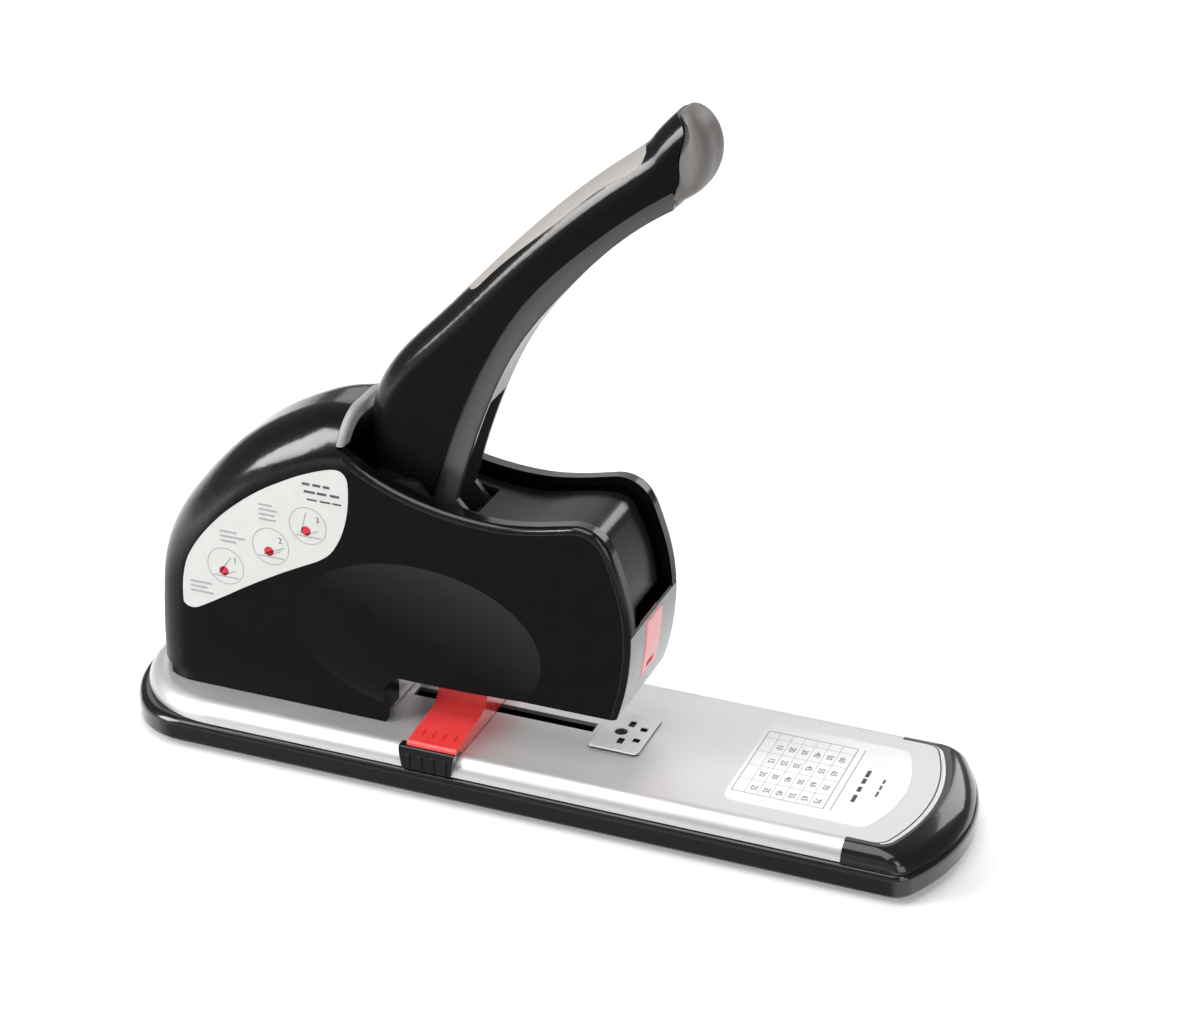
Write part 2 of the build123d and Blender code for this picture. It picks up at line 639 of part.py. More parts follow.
# Handle: grey steel channel, open towards the body below OPEN_Z, with the crank at its root
with BuildPart() as handle_lever:
    with BuildSketch(Plane.XZ.offset(-CHANNEL_HW)):
        with BuildLine():
            under = Spline(*UNDERSIDE)
            back = Spline(*crown_points(8.2), (40.0, 217.0))
            Line(under @ 1, (46.3, 208.6))
            Line((46.3, 208.6), back @ 1)
            Line(back @ 0, (PIVOT[0] - 13, PIVOT[1]))
            RadiusArc((PIVOT[0] - 13, PIVOT[1]), (PIVOT[0], PIVOT[1] - 13), -13)
            Line((PIVOT[0], PIVOT[1] - 13), (CRANK_PIN[0], CRANK_PIN[1] - 4.8))
            RadiusArc((CRANK_PIN[0], CRANK_PIN[1] - 4.8), (CRANK_PIN[0] + 2.4, CRANK_PIN[1] + 4.16), -4.8)
            Line((CRANK_PIN[0] + 2.4, CRANK_PIN[1] + 4.16), under @ 0)
        make_face()
    extrude(amount=2 * CHANNEL_HW)
    with BuildSketch(Plane.XZ):
        with BuildLine():
            floor = Spline(*[(x - 1.6, z + 1.2) for x, z in UNDERSIDE[2:]])
            Polyline(floor @ 1, (44.0, 225.0), (-75.0, 140.0), (-75.0, 60.0), (0.0, 60.0), (0.0, OPEN_Z + 6),
                     (-15.4, OPEN_Z + 6), floor @ 0)
        make_face()
    extrude(amount=CHANNEL_HW - CHANNEL_T, both=True, mode=Mode.SUBTRACT)
    with BuildSketch(Plane.XZ):
        with Locations(PIVOT):
            Circle(6.5)
        with Locations(CRANK_PIN):
            Circle(1.5)
        with Locations(*crown_points(11)[2:4]):
            Circle(1.53)
    extrude(amount=20, both=True, mode=Mode.SUBTRACT)
    long_edges = handle_lever.edges().filter_by(lambda e: abs(abs(e.center().Y) - CHANNEL_HW) < 0.01)
    fillet(long_edges.filter_by(lambda e: e.length > 120 and e.center().X > -14 and e.center().Z < 165), 0.7)
save(handle_lever, "handle_lever")

with BuildPart() as pivot_bush:
    add(disc(Plane.XZ, PIVOT, 6.48, 11.6, SHAFT_R + RUN_FIT))
save(pivot_bush, "pivot_bush")

with BuildPart() as crank_pin:
    add(disc(Plane.XZ, CRANK_PIN, 1.48, CHANNEL_HW))
save(crank_pin, "crank_pin")

with BuildPart() as crank_roller:
    add(disc(Plane.XZ, CRANK_PIN, ROLLER_R, 5.6, 1.53))
    fillet(crank_roller.edges().filter_by(GeomType.CIRCLE).filter_by(lambda e: e.radius > 2), 0.3)
save(crank_roller, "crank_roller")


PAD_ENDS = ((-22.5, 168.4), (35.6, 222.6))
PAD_DEPTH = 5.9
PAD_HW = 8.6
PAD_PLANE = Plane(origin=(6.2, 0, 198.1), x_dir=(0.73, 0, 0.684), z_dir=(-0.684, 0, 0.73))
COVER_END = [(48.3, 230.6), (48.7, 226.4), (47.5, 221.8), (47.9, 217.0)]

# Blank of the black handle cover with its rounded crown, hooked up at the tip
with BuildPart() as handle_blank:
    with BuildSketch(Plane.XZ.offset(-GRIP_HW)):
        with BuildLine():
            crown = Spline((-57.6, 112.0), *crown_points(0), (34.6, 222.0), (44.2, 233.2), tangents=((0, 1), (1, 1)))
            parting = Spline(*PARTING)
            Spline(crown @ 1, *COVER_END, parting @ 1)
            Polyline(parting @ 0, (-46, 103.5), (-57.6, 103.5), crown @ 0)
        make_face()
    extrude(amount=2 * GRIP_HW)
    sides = handle_blank.edges().filter_by(lambda e: abs(abs(e.center().Y) - GRIP_HW) < 0.01)
    fillet(sides.filter_by(lambda e: e.length > 155), 9.0)


def pad_zone(gap):
    """Region of the side view that the grip pad takes out of the handle's crown."""
    deep = PAD_DEPTH + gap
    (x0, z0), (x1, z1) = PAD_ENDS
    low = (x0 - gap + deep * 0.70, z0 - gap - deep * 0.71)
    high = (x1 + gap + deep * 0.70, z1 + gap - deep * 0.71)
    with BuildSketch() as region:
        with BuildLine():
            bed = Spline(low, *crown_points(deep)[2:], high)
            Polyline(bed @ 1, (x1 + gap - 2.8, z1 + gap + 2.84), (x0 - gap - 2.8, z0 - gap + 2.84), bed @ 0)
        make_face()
    return region.sketch


def pad_block(gap):
    """The pad's bed: narrow and round at its lower end, full width above."""
    with BuildPart() as bed:
        with BuildSketch(PAD_PLANE.offset(-20)):
            with BuildLine():
                near = Spline((-41.4 - gap, -3.4), (-39.8 - gap, -5.8 - gap), (-34, -6.8 - gap), (-16, -7.5 - gap),
                              (5, -8.2 - gap), (25, -8.3 - gap), (35, -8.1 - gap), (37.6 + gap, -6.6 - gap))
                far = Spline((-41.4 - gap, 3.4), (-39.8 - gap, 5.8 + gap), (-34, 6.8 + gap), (-16, 7.5 + gap),
                             (5, 8.2 + gap), (25, 8.3 + gap), (35, 8.1 + gap), (37.6 + gap, 6.6 + gap))
                Line(near @ 0, far @ 0)
                Line(near @ 1, far @ 1)
            make_face()
        extrude(amount=40)
        with BuildSketch(Plane.XZ.offset(-PAD_HW - gap)):
            add(pad_zone(gap))
        extrude(amount=2 * (PAD_HW + gap), mode=Mode.INTERSECT)
    return bed.part


with BuildPart() as handle_cover:
    add(handle_blank.part)
    add(pad_block(0.1), mode=Mode.SUBTRACT)
    with BuildSketch(Plane.XZ.offset(-CHANNEL_HW - 0.15)):
        with BuildLine():
            roof = Spline(*crown_points(7.6), (42.0, 219.5))
            Polyline(roof @ 1, (60, 200), (0, 90), (-55.4, 90), roof @ 0)
        make_face()
    extrude(amount=2 * CHANNEL_HW + 0.3, mode=Mode.SUBTRACT)
    with BuildSketch(Plane.XZ.offset(-9.2)):
        with Locations(*crown_points(11)[2:4]):
            Circle(1.53)
    extrude(amount=18.4, mode=Mode.SUBTRACT)
    add(disc(Plane.XZ, PIVOT, 7.4, 20), mode=Mode.SUBTRACT)
save(handle_cover, "handle_cover")

with BuildPart() as grip_pad:
    add(pad_block(0))
    add(handle_blank.part, mode=Mode.INTERSECT)
save(grip_pad, "grip_pad")

with BuildPart() as tip_cap:
    with BuildSketch(Plane.XZ.offset(-GRIP_HW)):
        with BuildLine():
            outer = Spline((44.4, 233.4), (48.6, 235.4), (53.0, 232.4), (55.6, 225.6), (55.2, 217.6), (51.6, 210.8),
                           (46.6, 205.2))
            seam = Spline((44.4, 233.4), *[(x + 0.12, z) for x, z in COVER_END], (46.75, 211.4))
            Polyline(outer @ 1, (46.6, 208.6), seam @ 1)
        make_face()
    extrude(amount=2 * GRIP_HW)
    sides = tip_cap.edges().filter_by(lambda e: abs(abs(e.center().Y) - GRIP_HW) < 0.01)
    fillet(sides.sort_by(SortBy.LENGTH)[-2:], 5.0)
save(tip_cap, "tip_cap")

with BuildPart() as cover_pins:
    for at in crown_points(11)[2:4]:
        add(disc(Plane.XZ, at, 1.5, 9.1))
save(cover_pins, "cover_pins")


def turned(point, centre, degrees):
    """A side view point turned about a centre, positive lifting the stapling end."""
    dx = point[0] - centre[0]
    dz = point[1] - centre[1]
    c = cos(radians(degrees))
    s = sin(radians(degrees))
    return centre[0] + c * dx - s * dz, centre[1] + s * dx + c * dz


def cam_point(share):
    """Point of the drive lever's cam under the roller, at a share of the handle's travel."""
    roller = turned(CRANK_PIN, PIVOT, -PRESS_DEG * share)
    x, z = turned(roller, LEVER_PIN, LEVER_DEG * share)
    return x, z - ROLLER_R - CAM_GAP


# Drive lever: the roller pushes on its cam and its tip pushes the ram
with BuildPart() as drive_lever:
    with BuildSketch(Plane.XZ.offset(-LEVER_HW)):
        with BuildLine():
            front, middle, rear = cam_point(-0.15), cam_point(0.5), cam_point(1.15)
            ThreePointArc(front, middle, rear)
            Polyline(rear, (-37, 77.5), (LEVER_PIN[0] + 1, LEVER_PIN[1] + 9))
            ThreePointArc((LEVER_PIN[0] + 1, LEVER_PIN[1] + 9), (LEVER_PIN[0] - 9, LEVER_PIN[1]),
                          (LEVER_PIN[0] + 1, LEVER_PIN[1] - 9))
            Polyline((LEVER_PIN[0] + 1, LEVER_PIN[1] - 9), (-62, 60), (-40, 66.5), (9, 73.2),
                     (LEVER_TIP[0] - 5.2, LEVER_TIP[1] - 2.4), (LEVER_TIP[0] - 1.8, LEVER_TIP[1] - 2.4))
            ThreePointArc((LEVER_TIP[0] - 1.8, LEVER_TIP[1] - 2.4), (LEVER_TIP[0] + 3, LEVER_TIP[1]),
                          (LEVER_TIP[0] - 1.8, LEVER_TIP[1] + 2.4))
            Polyline((LEVER_TIP[0] - 1.8, LEVER_TIP[1] + 2.4), (LEVER_TIP[0] - 5.2, LEVER_TIP[1] + 2.4), (12, 84),
                     (-12, 84), front)
        make_face()
        with Locations(LEVER_PIN):
            Circle(SHAFT_R + RUN_FIT, mode=Mode.SUBTRACT)
        with Locations((-72, 68), (-52, 70.5), (-4, 77)):
            Circle(3.0, mode=Mode.SUBTRACT)
    extrude(amount=2 * LEVER_HW)
    fillet(drive_lever.edges().filter_by(Axis.Y).filter_by(lambda e: -64 < e.center().X < 14), 1.0)
save(drive_lever, "drive_lever")

# Ram and blade
RAM_X = (20.6, 28.3)
RIVETS = [(-5.7, LEVER_TIP[1] - 2), (5.7, LEVER_TIP[1] - 2)]
with BuildPart() as ram_block:
    with BuildSketch(Plane.XZ.offset(-7)):
        with BuildLine():
            Polyline((RAM_X[0], LEVER_TIP[1] - 6.5), (RAM_X[1], LEVER_TIP[1] - 6.5), (RAM_X[1], LEVER_TIP[1] + 1.5),
                     (RAM_X[1] - 1.2, LEVER_TIP[1] + 6.2), (RAM_X[0], LEVER_TIP[1] + 6.2), close=True)
        make_face()
    extrude(amount=14)
    with Locations((RAM_X[0] - 1, 0, LEVER_TIP[1])):
        Box(RAM_X[1] - RAM_X[0] - 0.4, 2 * LEVER_HW + 0.8, 6.8, align=(Align.MIN, Align.CENTER, Align.CENTER),
            mode=Mode.SUBTRACT)
    with BuildSketch(Plane.YZ.offset(RAM_X[1])):
        with Locations(*RIVETS):
            Circle(0.82)
    extrude(amount=-4, mode=Mode.SUBTRACT)
save(ram_block, "ram_block")

with BuildPart() as driver_blade:
    with Locations((RAM_X[1] + 0.05, 0, BLADE_Z)):
        Box(1.0, 12.8, LEVER_TIP[1] + 1 - BLADE_Z, align=(Align.MIN, Align.CENTER, Align.MIN))
    chamfer(driver_blade.edges().filter_by(Axis.X).group_by(Axis.Z)[-1], 0.6)
    with BuildSketch(Plane.YZ.offset(RAM_X[1])):
        with Locations(*RIVETS):
            Circle(0.82)
    extrude(amount=3, mode=Mode.SUBTRACT)
save(driver_blade, "driver_blade")

with BuildPart() as ram_rivets:
    with BuildSketch(Plane.YZ.offset(RAM_X[1] - 3.9)):
        with Locations(*RIVETS):
            Circle(0.8)
    extrude(amount=4.95)
save(ram_rivets, "ram_rivets")

# Magazine: rail, staples, guide rod, pusher and nose plate draw out together
with BuildPart() as staple_rail:
    with BuildSketch(Plane.YZ.offset(RAIL_X[0])):
        with Locations((0, RAIL_Z + 0.6)):
            Rectangle(17.8, 1.2)
        with Locations((-8.0, RAIL_Z + 6.5), (8.0, RAIL_Z + 6.5)):
            Rectangle(1.2, 13.0)
        with Locations((0, RAIL_Z + 6.4)):
            Rectangle(10.4, 12.8)
        with Locations((0, RAIL_Z + 6.4)):
            Rectangle(8.0, 10.4, mode=Mode.SUBTRACT)
    extrude(amount=RAIL_X[1] - RAIL_X[0])
    with Locations((RAIL_X[0] + 0.6, 0, RAIL_Z + 6.4)):
        Box(1.2, 8.4, 10.8)
    with Locations((RAIL_X[1], 0, RAIL_Z + 6.5)):
        Box(3.9, 17.2, 13.0, align=(Align.MIN, Align.CENTER, Align.CENTER))
        Box(3.9, 14.8, 20.0, align=(Align.MIN, Align.CENTER, Align.CENTER), mode=Mode.SUBTRACT)
    with Locations((RAIL_X[0] + 1.2, 0, RAIL_Z + 12)):
        Box(56, 2.4, 4, align=(Align.MIN, Align.CENTER, Align.CENTER), mode=Mode.SUBTRACT)
    with BuildSketch(Plane.YZ.offset(RAIL_X[0])):
        with Locations((0, RAIL_Z + 6.4)):
            Circle(1.5)
    extrude(amount=2, mode=Mode.SUBTRACT)
save(staple_rail, "staple_rail")

with BuildPart() as guide_rod:
    with BuildSketch(Plane.YZ.offset(RAIL_X[0])):
        with Locations((0, RAIL_Z + 6.4)):
            Circle(1.48)
    extrude(amount=60)
save(guide_rod, "guide_rod")

with BuildPart() as staple_strip:
    with BuildSketch(Plane.YZ.offset(STRIP_REAR_X)):
        with Locations((0, CROWN_Z)):
            Rectangle(13.2, 12.0, align=(Align.CENTER, Align.MAX))
        with Locations((0, CROWN_Z - 1.1)):
            Rectangle(11.0, 12.0, align=(Align.CENTER, Align.MAX), mode=Mode.SUBTRACT)
    extrude(amount=RAIL_X[1] - STRIP_REAR_X - 0.2)
    fillet(staple_strip.edges().filter_by(Axis.X).group_by(Axis.Z)[-1], 0.8)
save(staple_strip, "staple_strip")

PUSHER_X = STRIP_REAR_X - 0.2 - PUSHER_L
with BuildPart() as pusher:
    with BuildSketch(Plane.YZ.offset(PUSHER_X)):
        with Locations((0, RAIL_Z + 14.1)):
            Rectangle(14.2, 12.3, align=(Align.CENTER, Align.MAX))
        with Locations((0, RAIL_Z + 13.1)):
            Rectangle(11.0, 14.0, align=(Align.CENTER, Align.MAX), mode=Mode.SUBTRACT)
        with Locations((0, RAIL_Z + 9.6)):
            Rectangle(1.8, 9.0)
        with Locations((0, RAIL_Z + 6.4)):
            Rectangle(7.2, 8.6)
            Circle(1.56, mode=Mode.SUBTRACT)
    extrude(amount=PUSHER_L)
save(pusher, "pusher")

with BuildPart() as pusher_spring:
    spring_x = RAIL_X[0] + 1.7
    add(coil((spring_x, 0, RAIL_Z + 6.4), (1, 0, 0), 2.6, 0.6, PUSHER_X - spring_x - 0.6, 12))
save(pusher_spring, "pusher_spring")

BUTTON_HW = 7.0
BUTTON_Z = (43.6, 64.0)
with BuildPart() as nose_plate:
    with BuildSketch(Plane.XZ.offset(-NOSE_HW)):
        with BuildLine():
            face = Spline(*nose_curve(0))
            back = Spline(*nose_curve(NOSE_SKIN))
            Line(face @ 0, back @ 0)
            Line(face @ 1, back @ 1)
        make_face()
    extrude(amount=2 * NOSE_HW)
    fillet(nose_plate.faces().sort_by(Axis.X)[-1].edges().filter_by(lambda e: e.length < 40), 0.5)
    with BuildSketch(Plane.XZ.offset(0.4 - RIM_HW)):
        with BuildLine():
            Polyline((31.9, 37.0), (31.9, 56.0), (37.0, 56.0), (36.3, 49.5), (34.3, 40.0), (33.4, 37.0), close=True)
        make_face()
    extrude(amount=2 * (RIM_HW - 0.4))
    with Locations((33.4, 0, sum(BUTTON_Z) / 2)):
        Box(20, 2 * BUTTON_HW + 0.6, BUTTON_Z[1] - BUTTON_Z[0] + 0.6, align=(Align.MIN, Align.CENTER, Align.CENTER),
            mode=Mode.SUBTRACT)
    with Locations((32.5, 0, BUTTON_Z[0] - 0.3)):
        Box(4, 2 * BUTTON_HW + 0.6, 7.2, align=(Align.MIN, Align.CENTER, Align.MIN), mode=Mode.SUBTRACT)
save(nose_plate, "nose_plate")

with BuildPart() as release_button:
    with BuildSketch(Plane.XZ.offset(-BUTTON_HW)):
        with BuildLine():
            face = Spline((38.3, BUTTON_Z[1]), (38.2, 60.0), (37.35, 51.0), (36.0, BUTTON_Z[0]))
            Polyline(face @ 1, (34.5, BUTTON_Z[0]), (34.5, 49.8), (35.9, 51.2), (35.9, BUTTON_Z[1]), face @ 0)
        make_face()
    extrude(amount=2 * BUTTON_HW)
    fillet(release_button.faces().sort_by(Axis.X)[-1].edges(), 0.5)
    with Locations((36.6, 0, BUTTON_Z[0] + 3.2)):
        Box(2.4, 6.4, 2.4, mode=Mode.SUBTRACT)
save(release_button, "release_button")

with BuildPart() as button_spring:
    add(coil((33.8, 0, 54.0), (1, 0, 0), 2.2, 0.5, 1.7, 2))
save(button_spring, "button_spring")

# Paper stop: red block over the slot, black grip on the near edge, shoe under the plate
with BuildPart() as stop_block:
    with BuildSketch(Plane.YZ.offset(STOP_X[0])):
        with BuildLine():
            Polyline((-35.4, 19.2), (-35.4, 20.2), (-34.6, 20.7), (-17.0, 22.2))
            ThreePointArc((-17.0, 22.2), (-12.0, 24.0), (-9.6, 28.4))
            Polyline((-9.6, 28.4), (-8.6, 31.5), (8.6, 31.5), (9.6, 28.4))
            ThreePointArc((9.6, 28.4), (11.0, 24.0), (14.0, 21.4))
            Polyline((14.0, 21.4), (20.0, 19.6), (20.0, PLATE_Z + 0.35), (-30.4, PLATE_Z + 0.35), (-32.6, 19.2),
                     (-35.4, 19.2))
        make_face()
    extrude(amount=STOP_X[1] - STOP_X[0])
    fillet(stop_block.edges().filter_by(Axis.Y).group_by(Axis.Z)[-1], 1.2)
    with BuildSketch(Plane.XY.offset(PLATE_Z - SHEET - 0.2)):
        with Locations((sum(STOP_X) / 2, 0)):
            SlotOverall(13, 2 * SLOT_HW - 0.6)
    extrude(amount=3)
    with Locations((sum(STOP_X) / 2, 0, 10)):
        Cylinder(1.25, 26, mode=Mode.SUBTRACT)
save(stop_block, "stop_block")

with BuildPart() as stop_grip:
    with BuildSketch(Plane.YZ.offset(STOP_X[0] - 2.6)):
        with BuildLine():
            Polyline((-36.55, GRIP_FOOT_Z), (-37.4, GRIP_FOOT_Z), (-37.4, 17.6), (-36.6, 19.0), (-32.8, 19.0),
                     (-31.7, 17.33))
            RadiusArc((-31.7, 17.33), (-36.55, GRIP_FOOT_Z), -ROLL_R - 0.35)
        make_face()
    extrude(amount=STOP_X[1] - STOP_X[0] + 2.4)
save(stop_grip, "stop_grip")

with BuildPart() as stop_shoe:
    with Locations((sum(STOP_X) / 2, 0, PLATE_Z - SHEET - 0.3)):
        Box(15, 13, 3, align=(Align.CENTER, Align.CENTER, Align.MAX))
    with Locations((sum(STOP_X) / 2, 0, 10)):
        Cylinder(1.6, 26, mode=Mode.SUBTRACT)
save(stop_shoe, "stop_shoe")

with BuildPart() as stop_screw:
    with Locations((sum(STOP_X) / 2, 0, PLATE_Z - SHEET - 5.4)):
        Cylinder(2.8, 2.0, align=(Align.CENTER, Align.CENTER, Align.MIN))
        Cylinder(1.2, 12.0, align=(Align.CENTER, Align.CENTER, Align.MIN))
save(stop_screw, "stop_screw")

# Instruction label on the near side
with BuildPart() as side_label:
    with BuildSketch(Plane.XZ.offset(BODY_HW)):
        with BuildLine():
            Spline((-119.6, 48.5), (-117.2, 64.0), (-100.0, 85.7), (-78.0, 100.4), (-62.6, 106.6))
            RadiusArc((-62.6, 106.6), (-57.4, 102.6), 4.2)
            Spline((-57.4, 102.6), (-58.6, 87.0), (-66.0, 74.0))
            Spline((-66.0, 74.0), (-94.5, 58.5), (-115.0, 45.9))
            RadiusArc((-115.0, 45.9), (-119.6, 48.5), 3.2)
        make_face()
    extrude(amount=0.15)
save(side_label, "side_label")
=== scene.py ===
import math

import bpy
import bmesh
from mathutils import Matrix, Vector


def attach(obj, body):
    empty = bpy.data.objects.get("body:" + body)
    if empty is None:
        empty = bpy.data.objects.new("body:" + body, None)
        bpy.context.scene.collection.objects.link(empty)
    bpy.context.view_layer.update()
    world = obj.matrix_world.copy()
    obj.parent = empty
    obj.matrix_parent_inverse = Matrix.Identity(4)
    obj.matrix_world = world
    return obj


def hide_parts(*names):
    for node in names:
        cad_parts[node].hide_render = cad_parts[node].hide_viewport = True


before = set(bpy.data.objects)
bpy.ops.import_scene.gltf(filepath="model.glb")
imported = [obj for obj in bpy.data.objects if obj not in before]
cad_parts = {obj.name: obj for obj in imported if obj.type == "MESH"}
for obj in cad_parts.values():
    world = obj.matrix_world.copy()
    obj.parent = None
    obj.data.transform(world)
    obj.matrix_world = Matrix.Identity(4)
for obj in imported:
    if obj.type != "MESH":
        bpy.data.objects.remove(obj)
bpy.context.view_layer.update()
MM = 0.001


class Tone:
    """A value in a material's nodes. Sums on it add Math nodes, and node() adds any other node."""

    def __init__(self, tree, socket=None):
        self.tree = tree
        self.socket = socket

    def node(self, kind, settings=None, sockets=None, out=0):
        made = self.tree.nodes.new(kind)
        for key, value in (settings or {}).items():
            if key == "stops":
                set_stops(made.color_ramp, value)
            else:
                setattr(made, key, value)
        for key, value in (sockets or {}).items():
            if isinstance(value, Tone):
                self.tree.links.new(value.socket, made.inputs[key])
            else:
                made.inputs[key].default_value = value
        return Tone(self.tree, made.outputs[out] if len(made.outputs) else None)

    def math(self, operation, first, second):
        return self.node("ShaderNodeMath", {"operation": operation}, {0: first, 1: second})

    def __add__(self, other):
        return self.math("ADD", self, other)

    def __sub__(self, other):
        return self.math("SUBTRACT", self, other)

    def __rsub__(self, other):
        return self.math("SUBTRACT", other, self)

    def __mul__(self, other):
        return self.math("MULTIPLY", self, other)

    def larger(self, other):
        return self.math("MAXIMUM", self, other)


def set_stops(ramp, stops):
    """Places the stops (position, grey value) of a ramp."""
    while len(ramp.elements) < len(stops):
        ramp.elements.new(0.5)
    for element, (position, grey) in zip(ramp.elements, stops):
        element.position = position
        element.color = (grey, grey, grey, 1)


def grain(tone, size, stretch=(1, 1, 1), detail=2.0):
    """Noise whose spots are about size mm wide, drawn out by stretch along X, Y and Z."""
    place = tone.node("ShaderNodeTexCoord", out="Object")
    thin = tuple(1 / part for part in stretch)
    place = tone.node("ShaderNodeMapping", sockets={"Vector": place, "Scale": thin})
    spots = {"Vector": place, "Scale": 1 / (size * MM), "Detail": detail}
    return tone.node("ShaderNodeTexNoise", sockets=spots)


def ramp(tone, value, *stops):
    """The value passed through a ramp of greys."""
    return tone.node("ShaderNodeValToRGB", {"stops": stops}, {0: value})


def two_colours(tone, amount, low, high):
    """Runs from the colour low to the colour high with the amount."""
    ends = {0: amount, 6: low + (1,), 7: high + (1,)}
    return tone.node("ShaderNodeMix", {"data_type": "RGBA"}, ends, out=2)


def dents(tone, height, depth):
    """A normal from a height whose full range is depth mm."""
    return tone.node("ShaderNodeBump", sockets={"Height": height, "Strength": 1.0, "Distance": depth * MM})


def finish(name, build, **constants):
    """A material: build(tone) gives the varying sockets of its shader, constants the fixed ones."""
    material = bpy.data.materials.new(name)
    material.use_nodes = True
    material.node_tree.nodes.clear()
    tone = Tone(material.node_tree)
    sockets = {key.replace("_", " "): value for key, value in constants.items()}
    sockets.update(build(tone))
    shader = tone.node("ShaderNodeBsdfPrincipled", sockets=sockets)
    tone.node("ShaderNodeOutputMaterial", sockets={"Surface": shader})
    return material


LENGTHWISE = (60, 1, 1)
DOWNWARD = (1, 1, 30)
# Heights in mm over which painted light and shade change on the collar, the nose plate and the anvil
COLLAR_HEIGHTS = (100, 122)
NOSE_HEIGHTS = (36, 66)
ANVIL_HEIGHTS = (17.4, 17.9)


def facing_of(tone, axis):
    """How far the surface faces along one axis, from -1 to 1."""
    facing = tone.node("ShaderNodeTexCoord", out="Normal")
    return tone.node("ShaderNodeSeparateXYZ", sockets={0: facing}, out=axis)


def rise(tone, low, high):
    """How far up the surface lies from one height to another in mm, from 0 to 1."""
    place = tone.node("ShaderNodeTexCoord", out="Object")
    height = tone.node("ShaderNodeSeparateXYZ", sockets={0: place}, out="Z")
    return (height - low * MM) * (1 / ((high - low) * MM))


def mottle(tone):
    """The slight cloudiness of a moulded colour."""
    return grain(tone, 6, detail=5)


def moulded(low, high, shine, peel=1.4, depth=0.006, shading=mottle):
    """Moulded plastic: two colours laid by the shading, smears in the shine and a fine orange peel."""
    def build(tone):
        smear = ramp(tone, grain(tone, 22, detail=4), (0.35, 0), (0.7, 1))
        fine = grain(tone, 0.35, detail=3)
        return {
            "Base Color": two_colours(tone, shading(tone), low, high),
            "Roughness": smear * 0.07 + fine * 0.05 + (shine - 0.05),
            "Normal": dents(tone, grain(tone, peel), depth),
        }
    return build


def polished_rounds(low, high, shine, upward, upright):
    """Black moulding, satin on its flat sides and polished where it rounds away: upward and upright parts.
    Sides that lean a little up or forwards, as the bulge does, get a painted sheen: their base colour runs
    towards the colour high, a painted highlight laid over a little real mottle."""
    def sideways(tone):
        return tone.math("ABSOLUTE", facing_of(tone, "Y"), 0.0)

    def mottle_and_painted_sheen(tone):
        # painted sheen: the base colour is lightened where the side leans up or forwards, only on near-flat
        # sides
        lean = ramp(tone, (facing_of(tone, "Z") + facing_of(tone, "X")) * 5.0, (0.0, 0), (1.0, 1))
        return mottle(tone) * 0.1 + lean * ramp(tone, sideways(tone), (0.965, 0), (0.982, 1))

    def build(tone):
        sockets = moulded(low, high, shine, shading=mottle_and_painted_sheen)(tone)
        rounds = ramp(tone, sideways(tone), (0.94, 1), (0.992, 0))
        sockets["Coat Weight"] = rounds * ramp(tone, facing_of(tone, "Z"), (0.08, upright), (0.42, upward))
        return sockets
    return build


def polished_bend(low, high, shine):
    """The head's cover: satin on its flat top and front, polished along the bend between them."""
    def build(tone):
        sockets = moulded(low, high, shine)(tone)
        bend = (0.42, 0), (0.66, 1), (0.90, 1), (0.985, 0)
        sockets["Coat Weight"] = ramp(tone, facing_of(tone, "Z"), *bend)
        return sockets
    return build


def ring_with_painted_highlight(low, high, shine):
    """The grey collar: its light grey is a painted highlight of the lip, darker towards its lower ends where
    that painted highlight fades.
    """
    def shading(tone):
        painted_highlight_upper = ramp(tone, rise(tone, *COLLAR_HEIGHTS), (0.1, 0), (0.9, 1))
        return painted_highlight_upper * 0.85 + mottle(tone) * 0.15
    return moulded(low, high, shine, shading=shading)


def rolled_sheet(low, high, shine, along=LENGTHWISE, shading=None):
    """Satin sheet metal with fine drawn lines and a few dull patches. A shading, where given, lays its
    colours."""
    def build(tone):
        lines = grain(tone, 0.3, along, detail=3)
        patch = ramp(tone, grain(tone, 18, detail=4), (0.3, 0), (0.75, 1))
        amount = shading(tone, lines) if shading else lines * 0.7 + patch * 0.3
        return {
            "Base Color": two_colours(tone, amount, low, high),
            "Roughness": lines * 0.12 + patch * 0.06 + (shine - 0.08),
            "Normal": dents(tone, lines, 0.003),
        }
    return build


def cover_with_painted_shade(side, top, shine):
    """The silver base cover, with painted shade down its rolled sides, which are greyer than its flat top.
    """
    def shading(tone, lines):
        return ramp(tone, facing_of(tone, "Z"), (0.45, 0), (0.86, 1)) * 0.85 + lines * 0.15
    return rolled_sheet(side, top, shine, shading=shading)


def plate_with_painted_light(top, foot, shine):
    """The brushed nose plate, with painted light: brighter towards its foot."""
    def shading(tone, lines):
        return ramp(tone, 1 - rise(tone, *NOSE_HEIGHTS), (0.15, 0), (1.0, 1)) * 0.8 + lines * 0.2
    return rolled_sheet(top, foot, shine, DOWNWARD, shading)


def anvil_with_painted_shade(painted_pit_shade, face, shine):
    """The anvil, bright on its face, with painted shade in its pits and down its edges."""
    def shading(tone, lines):
        return ramp(tone, rise(tone, *ANVIL_HEIGHTS), (0.35, 0), (0.75, 1))
    return rolled_sheet(painted_pit_shade, face, shine, shading=shading)


def printed(low, high):
    """Printing ink, a little worn."""
    def build(tone):
        worn = grain(tone, 0.8, detail=4)
        return {"Base Color": two_colours(tone, worn, low, high), "Roughness": worn * 0.1 + 0.4}
    return build


def soft_rubber(low, high, shine, pores, depth):
    """Matt rubber with a fine pebbled skin."""
    def build(tone):
        place = tone.node("ShaderNodeTexCoord", out="Object")
        pebble = tone.node("ShaderNodeTexVoronoi", sockets={"Vector": place, "Scale": 1 / (pores * MM)})
        return {
            "Base Color": two_colours(tone, grain(tone, 5, detail=5), low, high),
            "Roughness": pebble * 0.12 + (shine - 0.05),
            "Normal": dents(tone, pebble, depth),
        }
    return build


